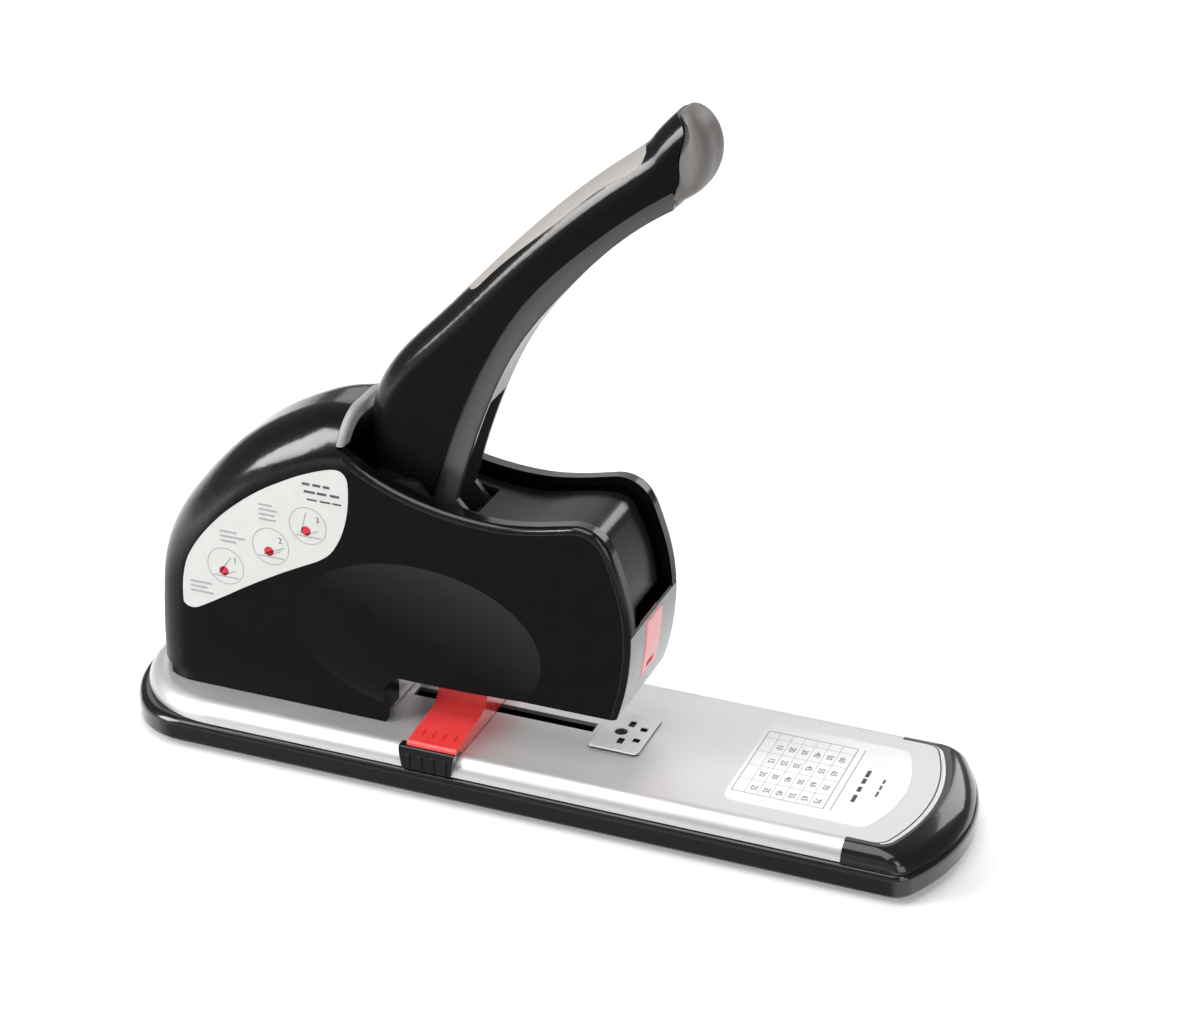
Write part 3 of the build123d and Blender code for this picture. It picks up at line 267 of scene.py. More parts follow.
FINISHES = {
    # The high colour of both black finishes is a painted sheen on sides that lean up or forwards
    "black_gloss": finish(
        "gloss_black_shell",
        polished_rounds((0.0018, 0.0018, 0.0020), (0.023, 0.023, 0.024), 0.36, 1.0, 0.1),
        Specular_IOR_Level=0.05, Coat_Roughness=0.13),
    "black_plastic": finish(
        "satin_black_plastic",
        polished_rounds((0.006, 0.006, 0.007), (0.011, 0.011, 0.012), 0.3, 1.0, 0.9),
        Specular_IOR_Level=0.12, Coat_Roughness=0.1),
    "dark_grey_plastic": finish(
        "dark_grey_hood",
        polished_bend((0.0075, 0.0075, 0.009), (0.012, 0.012, 0.0135), 0.26),
        Specular_IOR_Level=0.16, Coat_Roughness=0.2),
    # The collar's light grey is a painted highlight of the dome's lip, darker lower down
    "light_grey_plastic": finish(
        "light_grey_collar_painted_highlight",
        ring_with_painted_highlight((0.07, 0.07, 0.07), (0.36, 0.36, 0.35), 0.34)),
    # The low colour is painted shade on the base cover's rolled sides
    "silver_sheet": finish(
        "silver_plate",
        cover_with_painted_shade((0.50, 0.50, 0.495), (0.88, 0.88, 0.87), 0.40),
        Metallic=0.75),
    "plated_steel": finish(
        "zinc_plate",
        rolled_sheet((0.50, 0.51, 0.53), (0.62, 0.63, 0.64), 0.36, (8, 8, 1)),
        Metallic=1.0),
    "blackened_steel": finish(
        "oiled_black_steel",
        rolled_sheet((0.018, 0.018, 0.019), (0.035, 0.035, 0.036), 0.42),
        Metallic=0.6),
    "bright_steel": finish(
        "bright_plate",
        rolled_sheet((0.72, 0.72, 0.73), (0.84, 0.84, 0.84), 0.24, (6, 1, 1)),
        Metallic=1.0),
    "bronze": finish(
        "oiled_bronze",
        rolled_sheet((0.04, 0.028, 0.016), (0.065, 0.045, 0.026), 0.46, (1, 1, 1)),
        Metallic=1.0),
    "grey_metal": finish(
        "grey_lever",
        moulded((0.035, 0.034, 0.034), (0.048, 0.047, 0.047), 0.26)),
    "red_plastic": finish(
        "red_stop",
        moulded((0.70, 0.035, 0.035), (0.78, 0.055, 0.055), 0.24),
        Coat_Weight=0.4, Coat_Roughness=0.12),
    "grip_rubber": finish(
        "grip_pad_rubber",
        soft_rubber((0.285, 0.262, 0.245), (0.35, 0.322, 0.302), 0.55, 0.7, 0.02)),
    "tip_plastic": finish(
        "tip_cap_plastic",
        soft_rubber((0.125, 0.116, 0.110), (0.17, 0.158, 0.15), 0.44, 0.5, 0.008)),
    "foot_rubber": finish(
        "foot_rubber",
        soft_rubber((0.018, 0.018, 0.018), (0.03, 0.03, 0.03), 0.7, 0.6, 0.03)),
    "label_paper": finish(
        "label_film",
        moulded((0.80, 0.80, 0.785), (0.86, 0.86, 0.845), 0.34, 3.0, 0.004)),
}
# Nodes that look unlike the rest of their slot
OWN_FINISHES = {
    # The nose plate is lighter towards its foot: painted light
    "nose_plate": finish(
        "brushed_nose_plate",
        plate_with_painted_light((0.27, 0.27, 0.275), (0.66, 0.66, 0.66), 0.4),
        Metallic=0.6),
    # The anvil's dark pits and edges are painted shade
    "anvil_plate": finish(
        "bright_anvil",
        anvil_with_painted_shade((0.03, 0.03, 0.03), (0.90, 0.90, 0.90), 0.36),
        Metallic=0.35),
    # The button is pinker than the stop's red: a painted reflection of the pale table on its front
    "release_button": finish(
        "red_button_painted_reflection",
        moulded((0.93, 0.27, 0.28), (0.97, 0.32, 0.33), 0.24),
        Coat_Weight=0.3, Coat_Roughness=0.12),
    # The screw is dark blackened steel to stand for the dark hole seen there: painted shade
    "anvil_screw": FINISHES["blackened_steel"],
}
# The side label's film is darker than the same paper on the table label: painted shade on its upright face
SIDE_FILM_PAINTED_SHADE = finish(
    "side_label_film",
    moulded((0.53, 0.53, 0.515), (0.585, 0.585, 0.57), 0.4, 3.0, 0.004))
DARK_INK = finish("dark_ink", printed((0.035, 0.035, 0.04), (0.10, 0.10, 0.105)), Specular_IOR_Level=0.3)
PALE_INK = finish("pale_ink", printed((0.26, 0.26, 0.27), (0.40, 0.40, 0.41)), Specular_IOR_Level=0.3)
RED_INK = finish("red_ink", printed((0.42, 0.015, 0.03), (0.58, 0.03, 0.05)), Specular_IOR_Level=0.3)

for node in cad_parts.values():
    for place in node.material_slots:
        place.material = FINISHES[place.material.name.split(".")[0]]
for name, own in OWN_FINISHES.items():
    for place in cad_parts[name].material_slots:
        place.material = own


def settle(name, mesh, finish_used, body, slot, *stands_for):
    """Makes a finished mesh a piece of the stapler that rides on one body."""
    mesh.name = name
    mesh.materials.clear()
    mesh.materials.append(finish_used)
    piece = bpy.data.objects.new(name, mesh)
    bpy.context.scene.collection.objects.link(piece)
    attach(piece, body)
    if stands_for:
        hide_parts(*stands_for)
    return piece


def plain_mesh(points, faces, smooth=False):
    """A mesh from its points and faces, with the faces turned outwards."""
    shape = bmesh.new()
    corners = [shape.verts.new(point) for point in points]
    for face in faces:
        shape.faces.new([corners[index] for index in face]).smooth = smooth
    bmesh.ops.recalc_face_normals(shape, faces=shape.faces)
    mesh = bpy.data.meshes.new("shape")
    shape.to_mesh(mesh)
    shape.free()
    return mesh


def prism(outline, low, high):
    """A flat plate with an outline (u, v), between two heights."""
    count = len(outline)
    points = [(u, v, low) for u, v in outline] + [(u, v, high) for u, v in outline]
    faces = [tuple(range(count)), tuple(range(count, 2 * count))]
    faces += [(i, (i + 1) % count, (i + 1) % count + count, i + count) for i in range(count)]
    return plain_mesh(points, faces)


def loops_mesh(loops, closed_run=False, smooth=False):
    """A skin over a run of closed loops with equal counts, capped at its ends unless the run closes."""
    count = len(loops[0])
    points = [point for loop in loops for point in loop]
    faces = []
    for here in range(len(loops) if closed_run else len(loops) - 1):
        there = (here + 1) % len(loops)
        for i in range(count):
            j = (i + 1) % count
            faces.append((here * count + i, here * count + j, there * count + j, there * count + i))
    if not closed_run:
        faces += [tuple(range(count)), tuple(range(len(points) - count, len(points)))]
    return plain_mesh(points, faces, smooth)


def joined(meshes):
    """Several meshes as one."""
    whole = bmesh.new()
    for mesh in meshes:
        whole.from_mesh(mesh)
    out = bpy.data.meshes.new("joined")
    whole.to_mesh(out)
    whole.free()
    return out


def made_plain(holder):
    """The evaluated mesh of a working object, which is then removed."""
    graph = bpy.context.evaluated_depsgraph_get()
    mesh = bpy.data.meshes.new_from_object(holder.evaluated_get(graph))
    bpy.data.objects.remove(holder)
    return mesh


def working(data):
    """A working object in the scene."""
    holder = bpy.data.objects.new("working", data)
    bpy.context.scene.collection.objects.link(holder)
    return holder


ROW_INPUTS = {"Shape": "Object", "Copies": "Int", "Start": "Vector", "Step": "Vector",
              "Least length": "Float", "Seed": "Int", "Finish": "Material"}


def row_tree():
    """Copies of one shape in a row, each drawn to its own length along X."""
    tree = bpy.data.node_groups.new("row_of_copies", "GeometryNodeTree")
    for label, kind in ROW_INPUTS.items():
        tree.interface.new_socket(label, in_out="INPUT", socket_type="NodeSocket" + kind)
    tree.interface.new_socket("Row", in_out="OUTPUT", socket_type="NodeSocketGeometry")
    tone = Tone(tree)
    given = {label: tone.node("NodeGroupInput", out=label) for label in ROW_INPUTS}
    line = tone.node("GeometryNodeMeshLine", {"mode": "OFFSET"}, {
        "Count": given["Copies"], "Start Location": given["Start"], "Offset": given["Step"]})
    shape = tone.node("GeometryNodeObjectInfo", sockets={"Object": given["Shape"]}, out="Geometry")
    shortest = tone.node("ShaderNodeCombineXYZ", sockets={0: given["Least length"], 1: 1.0, 2: 1.0})
    lengths = tone.node("FunctionNodeRandomValue", {"data_type": "FLOAT_VECTOR"}, {
        0: shortest, 1: (1, 1, 1), "Seed": given["Seed"]})
    copies = tone.node("GeometryNodeInstanceOnPoints", sockets={
        "Points": line, "Instance": shape, "Scale": lengths})
    real = tone.node("GeometryNodeRealizeInstances", sockets={"Geometry": copies})
    done = tone.node("GeometryNodeSetMaterial", sockets={"Geometry": real, "Material": given["Finish"]})
    tone.node("NodeGroupOutput", sockets={"Row": done})
    return tree


ROW = row_tree()


def row(shape, copies, start, step, finish_used, least=1.0, seed=1):
    """A row of copies of a shape as one plain mesh."""
    source = working(shape)
    holder = working(bpy.data.meshes.new("row"))
    rule = holder.modifiers.new("row", "NODES")
    values = {"Shape": source, "Copies": copies, "Start": start, "Step": step,
              "Least length": least, "Seed": seed, "Finish": finish_used}
    rule.node_group = ROW
    for item in ROW.interface.items_tree:
        if item.in_out == "INPUT":
            rule[item.identifier] = values[item.name]
    mesh = made_plain(holder)
    bpy.data.objects.remove(source)
    return mesh


# Printed shapes are drawn in mm on a label's own U and V, a little into it and a little above it
INK_LOW = -0.02
INK_HIGH = 0.04
SIDE_LABEL_Y = -22.15
TABLE_LABEL_Z = 17.25
SIDE_PLANE = Matrix(((1, 0, 0, 0), (0, 0, -1, SIDE_LABEL_Y), (0, 1, 0, 0), (0, 0, 0, 1)))
TABLE_PLANE = Matrix(((0, 1, 0, 0), (-1, 0, 0, 0), (0, 0, 1, TABLE_LABEL_Z), (0, 0, 0, 1)))
TO_METRES = Matrix.Scale(MM, 4)


def bar(length, width):
    """A printed bar from the origin along U."""
    half = width / 2
    return prism([(0, -half), (length, -half), (length, half), (0, half)], INK_LOW, INK_HIGH)


def stroke(start, end, width):
    """A printed line from one point of the label to another."""
    along = Vector(end) - Vector(start)
    mesh = bar(along.length, width)
    turn = Matrix.Rotation(math.atan2(along.y, along.x), 4, "Z")
    mesh.transform(Matrix.Translation((start[0], start[1], 0)) @ turn)
    return mesh


def spot(centre, radius, parts=24):
    """A printed round spot."""
    turn = [2 * math.pi * i / parts for i in range(parts)]
    return prism([(centre[0] + radius * math.cos(a), centre[1] + radius * math.sin(a)) for a in turn],
                 INK_LOW, INK_HIGH)


def ring(centre, radius, width, parts=48):
    """A printed circle."""
    loops = []
    for i in range(parts):
        a = 2 * math.pi * i / parts
        loops.append([(centre[0] + r * math.cos(a), centre[1] + r * math.sin(a), h)
                      for r, h in ((radius - width, INK_LOW), (radius, INK_LOW), (radius, INK_HIGH),
                                   (radius - width, INK_HIGH))])
    return loops_mesh(loops, closed_run=True)


def figures(words, centre, height):
    """Plain numbers, centred on a point of the label."""
    text = bpy.data.curves.new("figures", "FONT")
    text.body = words
    text.size = height
    text.extrude = (INK_HIGH - INK_LOW) / 2
    text.resolution_u = 2
    text.align_x = "CENTER"
    text.align_y = "CENTER"
    mesh = made_plain(working(text))
    mesh.transform(Matrix.Translation((centre[0], centre[1], (INK_LOW + INK_HIGH) / 2)))
    return mesh


def lines_of_print(start, length, count, pitch, height, finish_used, seed):
    """A block of plain bars in place of lines of words."""
    return row(bar(length, height), count, start + (0,), (0, -pitch, 0), finish_used, 0.6, seed)


def words_of_print(start, count, length, height, finish_used, seed):
    """A line of plain bars in place of words."""
    return row(bar(length, height), count, start + (0,), (length * 1.15, 0, 0), finish_used, 0.6, seed)


def print_on(name, plane, meshes, finish_used):
    """Lays printed shapes on a label."""
    mesh = joined(meshes)
    mesh.transform(TO_METRES @ plane)
    settle(name, mesh, finish_used, "base", "label_paper")


LABEL_CORNERS = (
    (-119.6, 48.5), (-119.2, 56.0), (-117.2, 64.0), (-113.0, 71.4), (-107.2, 78.6), (-100.0, 85.7),
    (-89.6, 93.7), (-78.0, 100.4), (-70.6, 103.8), (-65.0, 105.8), (-61.6, 106.5), (-59.2, 105.8),
    (-57.8, 103.9), (-57.4, 100.8), (-57.6, 95.4), (-58.4, 90.0), (-60.0, 84.4), (-62.2, 79.6),
    (-65.0, 75.6), (-69.2, 72.4), (-75.0, 69.4), (-84.0, 64.6), (-94.5, 58.5), (-105.0, 51.9),
    (-112.4, 47.4), (-115.4, 46.0), (-117.6, 46.0), (-119.0, 46.8))
LABEL_THICK = 0.15


def rounded_run(corners, steps):
    """A closed smooth line through its corner points."""
    count = len(corners)
    points = []
    for i in range(count):
        a, b, c, d = (Vector(corners[(i + k) % count]) for k in (-1, 0, 1, 2))
        for step in range(steps):
            t = step / steps
            point = b + (c - a) * (t / 2) + (2 * a - 5 * b + 4 * c - d) * (t * t / 2)
            points.append(tuple(point + (3 * b - 3 * c + d - a) * (t ** 3 / 2)))
    return points


label_film = prism(rounded_run(LABEL_CORNERS, 4), -LABEL_THICK, 0.0)
label_film.transform(TO_METRES @ SIDE_PLANE)
settle("side_label_film", label_film, SIDE_FILM_PAINTED_SHADE, "base", "label_paper", "side_label")

# Side label: three rings, each with a sketched lever over a line, a red spot and a number
RINGS = ((-103.0, 63.9), (-86.0, 74.5), (-72.2, 84.6))
RING_R = 6.7
RING_WIDTH = 0.3
LEVER_LEANS = (55, 25, 75)
LEVER_LENGTH = 8.2
FIGURE_HEIGHT = 3.0
side_dark = []
side_pale = []
side_red = []
for step, (x, z) in enumerate(RINGS):
    side_pale.append(ring((x, z), RING_R, RING_WIDTH))
    side_pale.append(stroke((x - 4.6, z - 3.9), (x + 4.6, z - 3.9), 0.5))
    lean = math.radians(LEVER_LEANS[step])
    elbow = Vector((x - 2.6, z - 3.2))
    side_pale.append(stroke(elbow, elbow + LEVER_LENGTH * Vector((math.cos(lean), math.sin(lean))), 0.45))
    side_pale.append(stroke((x - 1.0, z - 3.4), (x + 3.6, z - 1.2), 0.4))
    side_red.append(spot((x - 0.7, z - 1.9), 1.7))
    side_dark.append(figures(str(step + 1), (x + 3.6, z + 2.6), FIGURE_HEIGHT))

# Blocks of bars: where each starts, its length, its count of lines and its seed
LINE_PITCH = 1.75
LINE_HEIGHT = 0.75
SIDE_BLOCKS = (((-116.4, 56.0), 9.2, 3, 3), ((-104.3, 76.8), 9.0, 3, 5), ((-89.6, 89.3), 7.6, 4, 8))
for start, length, count, seed in SIDE_BLOCKS:
    side_pale.append(lines_of_print(start, length, count, LINE_PITCH, LINE_HEIGHT, PALE_INK, seed))

# Heading lines: where each starts, the length and height of its words and its seed
SIDE_HEADING = (((-73.5, 99.7), 3.2, 0.9, 11), ((-73.0, 97.0), 4.0, 0.9, 12), ((-72.0, 94.3), 3.9, 0.65, 13))
for start, length, height, seed in SIDE_HEADING:
    side_dark.append(words_of_print(start, 3, length, height, DARK_INK, seed))
print_on("side_print_dark", SIDE_PLANE, side_dark, DARK_INK)
print_on("side_print_pale", SIDE_PLANE, side_pale, PALE_INK)
print_on("side_print_red", SIDE_PLANE, side_red, RED_INK)

# Table label: a ruled table of plain numbers and two lines of bars in front of it
TABLE_U = (-19.0, 18.6)
TABLE_V = (71.4, 101.6)
TABLE_COLUMNS = 4
TABLE_LINES = 6
CELL_U = 8.6
CELL_V = 4.2
FIRST_COLUMN = 4.0
THICK_RULE = 0.3
THIN_RULE = 0.12
table_rules = []
for v in (TABLE_V[0], TABLE_V[1], TABLE_V[1] + 2.4):
    table_rules.append(stroke((TABLE_U[0], v), (TABLE_U[1], v), THICK_RULE))
for u in TABLE_U:
    table_rules.append(stroke((u, TABLE_V[0]), (u, TABLE_V[1]), THICK_RULE))
line_rule = bar(TABLE_U[1] - TABLE_U[0], THIN_RULE)
first_line = (TABLE_U[0], TABLE_V[0] + CELL_V, 0)
table_rules.append(row(line_rule, TABLE_LINES, first_line, (0, CELL_V, 0), PALE_INK))
column_rule = bar(TABLE_V[1] - TABLE_V[0], THIN_RULE)
column_rule.transform(Matrix.Rotation(math.pi / 2, 4, "Z"))
first_column = (TABLE_U[0] + FIRST_COLUMN, TABLE_V[0], 0)
table_rules.append(row(column_rule, TABLE_COLUMNS, first_column, (CELL_U, 0, 0), PALE_INK))
print_on("table_rules", TABLE_PLANE, table_rules, PALE_INK)
table_figures = []
for column in range(TABLE_COLUMNS):
    for line in range(TABLE_LINES):
        u = TABLE_U[0] + FIRST_COLUMN + CELL_U * (column + 0.5)
        v = TABLE_V[0] + CELL_V * (line + 1.5)
        table_figures.append(figures(str(10 * (line + 1) + 5 * column), (u, v), FIGURE_HEIGHT))
table_figures.append(words_of_print((-8.0, 108.9), 4, 4.4, 1.3, DARK_INK, 21))
table_figures.append(words_of_print((-4.6, 114.9), 3, 3.2, 0.7, DARK_INK, 24))
print_on("table_figures", TABLE_PLANE, table_figures, DARK_INK)


TONGUE_ARC_R = 66.95
TONGUE_ARC_X = 64.65
TONGUE_CORNER = (121.16, 25.4)
TONGUE_CORNER_R = 5.0
TONGUE_TURN = math.atan2(TONGUE_CORNER[1], TONGUE_CORNER[0] - TONGUE_ARC_X)


def beside_tongue(turn, out):
    """A point at a distance outside the edge of the plate's tongue, by the angle its edge faces."""
    if abs(turn) < TONGUE_TURN:
        reach = TONGUE_ARC_R + out
        return (TONGUE_ARC_X + reach * math.cos(turn), reach * math.sin(turn))
    reach = TONGUE_CORNER_R + out
    return (TONGUE_CORNER[0] + reach * math.cos(turn),
            math.copysign(TONGUE_CORNER[1], turn) + reach * math.sin(turn))


# A silver lip round the tongue, laid where the cap's rim shows a bright band: partly a painted highlight of
# that rim
# The lip is wider at the front than where it runs out beside the corners
LIP_START = -62
LIP_SWEEP = 136
LIP_PARTS = 68
LIP_GAP = 0.45
LIP_FOOT = 16.8
LIP_TOP = 17.07
LIP_EDGE = 16.96
lip_loops = []
for part in range(LIP_PARTS + 1):
    turn = math.radians(LIP_START + LIP_SWEEP * part / LIP_PARTS)
    width = 0.15 + 1.45 * math.cos(turn * 1.1) ** 2
    edges = ((0, LIP_FOOT), (0, LIP_TOP), (width * 0.6, LIP_TOP), (width, LIP_EDGE), (width, LIP_FOOT))
    lip_loops.append([beside_tongue(turn, LIP_GAP + out) + (z,) for out, z in edges])
lip = loops_mesh(lip_loops)
lip.transform(TO_METRES)
settle("tongue_lip", lip, FINISHES["silver_sheet"], "base", "silver_sheet")


def staple_shape(width, leg, wire, corner, thick):
    """One staple: a flat wire bent to a crown and two legs."""
    path = [(-width / 2, -leg, -1, 0)]
    for side in (-1, 1):
        for i in range(5):
            a = math.radians(90 * i / 4)
            turn = math.pi - a if side < 0 else math.pi / 2 - a
            centre = (side * (width / 2 - corner), -corner)
            path.append((centre[0] + corner * math.cos(turn), centre[1] + corner * math.sin(turn),
                         math.cos(turn), math.sin(turn)))
    path.append((width / 2, -leg, 1, 0))
    loops = []
    for y, z, out_y, out_z in path:
        inner_y = y - wire * out_y
        inner_z = z - wire * out_z
        loops.append([(0, y, z), (thick, y, z), (thick, inner_y, inner_z), (0, inner_y, inner_z)])
    return loops_mesh(loops)


STAPLE_COUNT = 30
STAPLE_PITCH = 0.98
FIRST_STAPLE = (-1.8, 0, 52.9)
one_staple = staple_shape(width=13.2, leg=12.0, wire=0.75, corner=0.8, thick=0.9)
staples = row(one_staple, STAPLE_COUNT, FIRST_STAPLE, (STAPLE_PITCH, 0, 0), FINISHES["bright_steel"])
staples.transform(TO_METRES)
settle("staple_row", staples, FINISHES["bright_steel"], "magazine", "bright_steel", "staple_strip")

# Sections (y, z) of the finger grip and its ribs
GRIP_FOOT = 11.4
GRIP_HEIGHT = 7.6
GRIP_PROFILE = (
    (-36.55, GRIP_FOOT), (-36.95, GRIP_FOOT), (-36.95, 17.4), (-36.3, 18.8), (-35.9, 19.0), (-32.8, 19.0),
    (-31.7, 17.33), (-33.53, 16.64), (-35.13, 15.29), (-36.19, 13.47), (-36.53, 11.93))
RIB_PROFILE = ((-36.7, GRIP_FOOT + 0.2), (-37.4, GRIP_FOOT + 0.6), (-37.4, 16.6), (-36.7, 17.3))
GRIP_X = (-35.8, -16.2)
GRIP_NARROWING = 0.12
GRIP_PARTS = 8
RIB_COUNT = 4
RIB_WIDTH = 1.5
RIB_PITCH = 4.3
FIRST_RIB_X = -33.2
grip_length = GRIP_X[1] - GRIP_X[0]
grip_middle = sum(GRIP_X) / 2


def grip_loop(x):
    """The finger grip's section, drawn in towards its lower edge."""
    loop = []
    for y, z in GRIP_PROFILE:
        width = 1 - GRIP_NARROWING * (1 - (z - GRIP_FOOT) / GRIP_HEIGHT)
        loop.append((grip_middle + (x - grip_middle) * width, y, z))
    return loop


rib = loops_mesh([[(x, y, z) for y, z in RIB_PROFILE] for x in (0, RIB_WIDTH)])
grip = joined([
    loops_mesh([grip_loop(GRIP_X[0] + grip_length * part / GRIP_PARTS) for part in range(GRIP_PARTS + 1)]),
    row(rib, RIB_COUNT, (FIRST_RIB_X, 0, 0), (RIB_PITCH, 0, 0), FINISHES["black_plastic"]),
])
grip.transform(TO_METRES)
settle("ribbed_grip", grip, FINISHES["black_plastic"], "paper_stop", "black_plastic", "stop_grip")

# Raised marks across the sloping face of the paper stop
MARK_SECTION = ((-0.4, -0.3), (0.4, -0.3), (0.22, 0.3), (-0.22, 0.3))
MARK_HALF = 1.6
MARK_COUNT = 4
MARK_PITCH = 3.7
FIRST_MARK = (-30.2, -29.6, 21.13)
STOP_SLOPE = 0.085
mark = loops_mesh([[(x, y, z) for x, z in MARK_SECTION] for y in (-MARK_HALF, MARK_HALF)])
mark.transform(Matrix.Rotation(STOP_SLOPE, 4, "X"))
marks = row(mark, MARK_COUNT, FIRST_MARK, (MARK_PITCH, 0, 0), FINISHES["red_plastic"])
marks.transform(TO_METRES)
settle("stop_marks", marks, FINISHES["red_plastic"], "paper_stop", "red_plastic")

# The handle's end: the seam (z, x) where the black cover stops and the tip cap begins
SEAM = (
    (203.2, 43.4), (206.4, 44.9), (209.4, 46.2), (212.4, 46.9), (217.0, 48.0), (221.8, 47.6),
    (226.4, 48.8), (230.6, 48.4), (233.2, 44.3))
TIP_MIDDLE_Z = 220.8
TIP_HALF_Z = 14.2
TIP_POINTS = 24
TIP_SQUARENESS = 0.6


def seam_x(z):
    """Where the black cover ends, by height."""
    for (z0, x0), (z1, x1) in zip(SEAM, SEAM[1:]):
        if z <= z1:
            return x0 + (x1 - x0) * (z - z0) / (z1 - z0)
    return SEAM[-1][1]


def tip_loop(top, bottom, half_width, reach):
    """A rounded loop round the handle's end, with reach(z) giving how far forward it lies."""
    loop = []
    for i in range(TIP_POINTS):
        a = 2 * math.pi * i / TIP_POINTS
        z = (top + bottom) / 2 + (top - bottom) / 2 * math.cos(a)
        y = -half_width * math.copysign(abs(math.sin(a)) ** TIP_SQUARENESS, math.sin(a))
        loop.append((reach(z), y, z))
    return loop


def bowed(x, bow):
    """A reach that bows back towards the top and bottom."""
    return lambda z: x - bow * ((z - TIP_MIDDLE_Z) / TIP_HALF_Z) ** 2


tip_loops = [
    tip_loop(233.0, 203.4, 9.9, seam_x),
    tip_loop(233.3, 203.4, 9.9, lambda z: seam_x(z) + 0.5),
    tip_loop(234.0, 203.9, 9.75, lambda z: seam_x(z) + 1.8),
    tip_loop(234.8, 205.2, 9.75, lambda z: 0.5 * seam_x(z) + 0.5 * bowed(53.4, 5.4)(z)),
    tip_loop(235.0, 207.0, 9.95, bowed(53.4, 5.4)),
    tip_loop(233.2, 209.2, 8.7, bowed(55.2, 5.2)),
    tip_loop(228.8, 213.8, 4.8, bowed(56.4, 3.6)),
]
tip = loops_mesh(tip_loops, smooth=True)
tip.transform(TO_METRES)
tip_piece = settle("smooth_tip_cap", tip, FINISHES["tip_plastic"], "handle", "tip_plastic", "tip_cap")
seam_edge = tip.attributes.new("crease_edge", "FLOAT", "EDGE")
for edge in tip.edges:
    if max(edge.vertices) < TIP_POINTS:
        seam_edge.data[edge.index].value = 1.0
round_off = tip_piece.modifiers.new("round_off", "SUBSURF")
round_off.levels = 2
round_off.render_levels = 2


def aim(thing, spot):
    """Turns a lamp or the camera at a point, in metres."""
    way = Vector(spot) - thing.location
    thing.rotation_euler = way.to_track_quat("-Z", "Y").to_euler()


def soft_box(name, spot, target, width, height, radiance):
    """A rectangular lamp of even brightness."""
    data = bpy.data.lights.new(name, "AREA")
    data.shape = "RECTANGLE"
    data.size = width
    data.size_y = height
    data.energy = radiance * math.pi * width * height
    lamp = bpy.data.objects.new(name, data)
    lamp.location = spot
    bpy.context.scene.collection.objects.link(lamp)
    aim(lamp, target)


MIDDLE = (0.0, 0.0, 0.09)
FRONT_CORNER = (0.13, 0.0, 0.02)
FRONT_EDGE = (0.12, 0.0, 0.02)
# Name, place, aim, width, height and brightness
SOFT_BOXES = (
    ("key_left", (-0.83, -0.60, 0.56), MIDDLE, 0.42, 0.76, 12.6),
    ("back_right", (0.58, 1.45, 0.80), MIDDLE, 0.7, 0.7, 3.6),
    ("back_left", (-0.45, 1.45, 0.80), MIDDLE, 1.3, 0.8, 1.0),
    ("overhead", (-0.15, -0.35, 1.7), MIDDLE, 1.4, 1.4, 3.2),
    ("front_strip", (0.10, -1.0, 0.30), MIDDLE, 1.0, 0.45, 0.35),
    ("right_fill", (1.0, -0.62, 0.34), FRONT_CORNER, 0.7, 0.45, 2.6),
    ("corner_strip", (0.78, -0.52, 0.80), FRONT_EDGE, 0.3, 0.45, 3.6),
)
for box in SOFT_BOXES:
    soft_box(*box)

# The air is white to the camera and dim to everything else
AIR_LIGHT = 0.15
WHITE = (1, 1, 1, 1)
world = bpy.data.worlds.new("studio_air")
bpy.context.scene.world = world
world.use_nodes = True
air = Tone(world.node_tree)
seen_air = air.node("ShaderNodeLightPath", out="Is Camera Ray") * (1 - AIR_LIGHT) + AIR_LIGHT
background = world.node_tree.nodes["Background"]
background.inputs["Color"].default_value = WHITE
world.node_tree.links.new(seen_air.socket, background.inputs["Strength"])

TABLE_HALF = 6.0
TABLE_GREY = (0.72, 0.72, 0.72, 1)
table_corners = [(x * TABLE_HALF, y * TABLE_HALF, 0) for x, y in ((-1, -1), (1, -1), (1, 1), (-1, 1))]
floor_mesh = bpy.data.meshes.new("table_top")
floor_mesh.from_pydata(table_corners, [], [(0, 1, 2, 3)])
floor = bpy.data.objects.new("table_top", floor_mesh)
bpy.context.scene.collection.objects.link(floor)


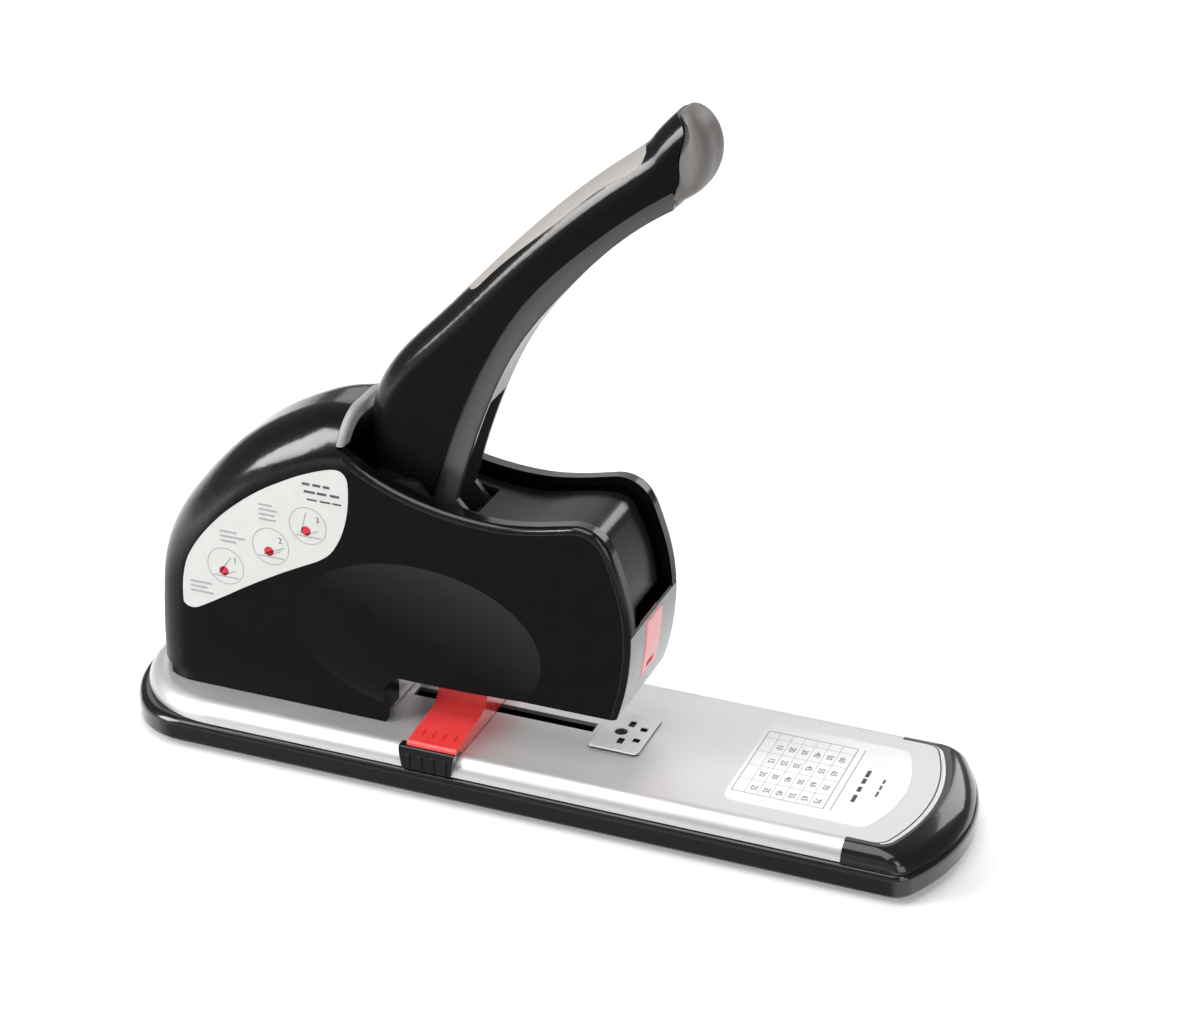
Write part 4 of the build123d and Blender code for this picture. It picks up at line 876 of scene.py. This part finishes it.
def pale_table(tone):
    """A white table: a diffuse part that takes the shadow and a glow seen directly and in reflections,
    which also makes up for the fading lamps far from the stapler. The glow is weaker in a patch just before
    the stapler, a painted shadow that deepens the real one there."""
    camera_ray, glossy_ray, clear_ray = [
        tone.node("ShaderNodeLightPath", out=kind)
        for kind in ("Is Camera Ray", "Is Glossy Ray", "Is Transmission Ray")]
    seen = camera_ray.larger(glossy_ray).larger(clear_ray)
    place = tone.node("ShaderNodeTexCoord", out="Object")
    away = tone.node("ShaderNodeVectorMath", {"operation": "LENGTH"}, {0: place}, out="Value")
    far = ramp(tone, away * 0.5, (0.3, 0), (0.8, 1)) * camera_ray
    across = tone.node("ShaderNodeSeparateXYZ", sockets={0: place}, out="Y")
    before = ramp(tone, (0.03 - across) * 10.0, (0.0, 0), (0.5, 1)) * camera_ray
    # painted shadow: less glow in a patch before the stapler's near side
    painted_shadow_patch = before * ramp(tone, away * 2.0, (0.36, 1), (0.62, 0))
    paint = tone.node("ShaderNodeBsdfDiffuse", sockets={"Color": TABLE_GREY})
    strength = seen * 0.5 + far * 0.5 - painted_shadow_patch * 0.3
    glow = tone.node("ShaderNodeEmission", sockets={"Color": WHITE, "Strength": strength})
    both = tone.node("ShaderNodeAddShader", sockets={0: paint, 1: glow})
    tone.node("ShaderNodeOutputMaterial", sockets={"Surface": both})


table_paint = bpy.data.materials.new("pale_table")
table_paint.use_nodes = True
table_paint.node_tree.nodes.clear()
pale_table(Tone(table_paint.node_tree))
floor_mesh.materials.append(table_paint)

# The camera, fitted to the photograph
SENSOR = 36.0
FOCAL_PIXELS = 3000
PICTURE_PIXELS = 1181
DISTANCE = 0.94211
LOOK_AT = Vector((0.01624, 0.0, 0.09603))
AZIMUTH = math.radians(21.8)
RISE = math.radians(27.42)
camera_data = bpy.data.cameras.new("photo_view")
camera_data.sensor_fit = "HORIZONTAL"
camera_data.sensor_width = SENSOR
camera_data.lens = SENSOR * FOCAL_PIXELS / PICTURE_PIXELS
camera_data.clip_end = 20.0
camera = bpy.data.objects.new("photo_view", camera_data)
bpy.context.scene.collection.objects.link(camera)
camera.location = LOOK_AT + DISTANCE * Vector((
    math.sin(AZIMUTH) * math.cos(RISE),
    -math.cos(AZIMUTH) * math.cos(RISE),
    math.sin(RISE),
))
aim(camera, LOOK_AT)
bpy.context.scene.camera = camera
bpy.context.scene.view_settings.view_transform = "Standard"
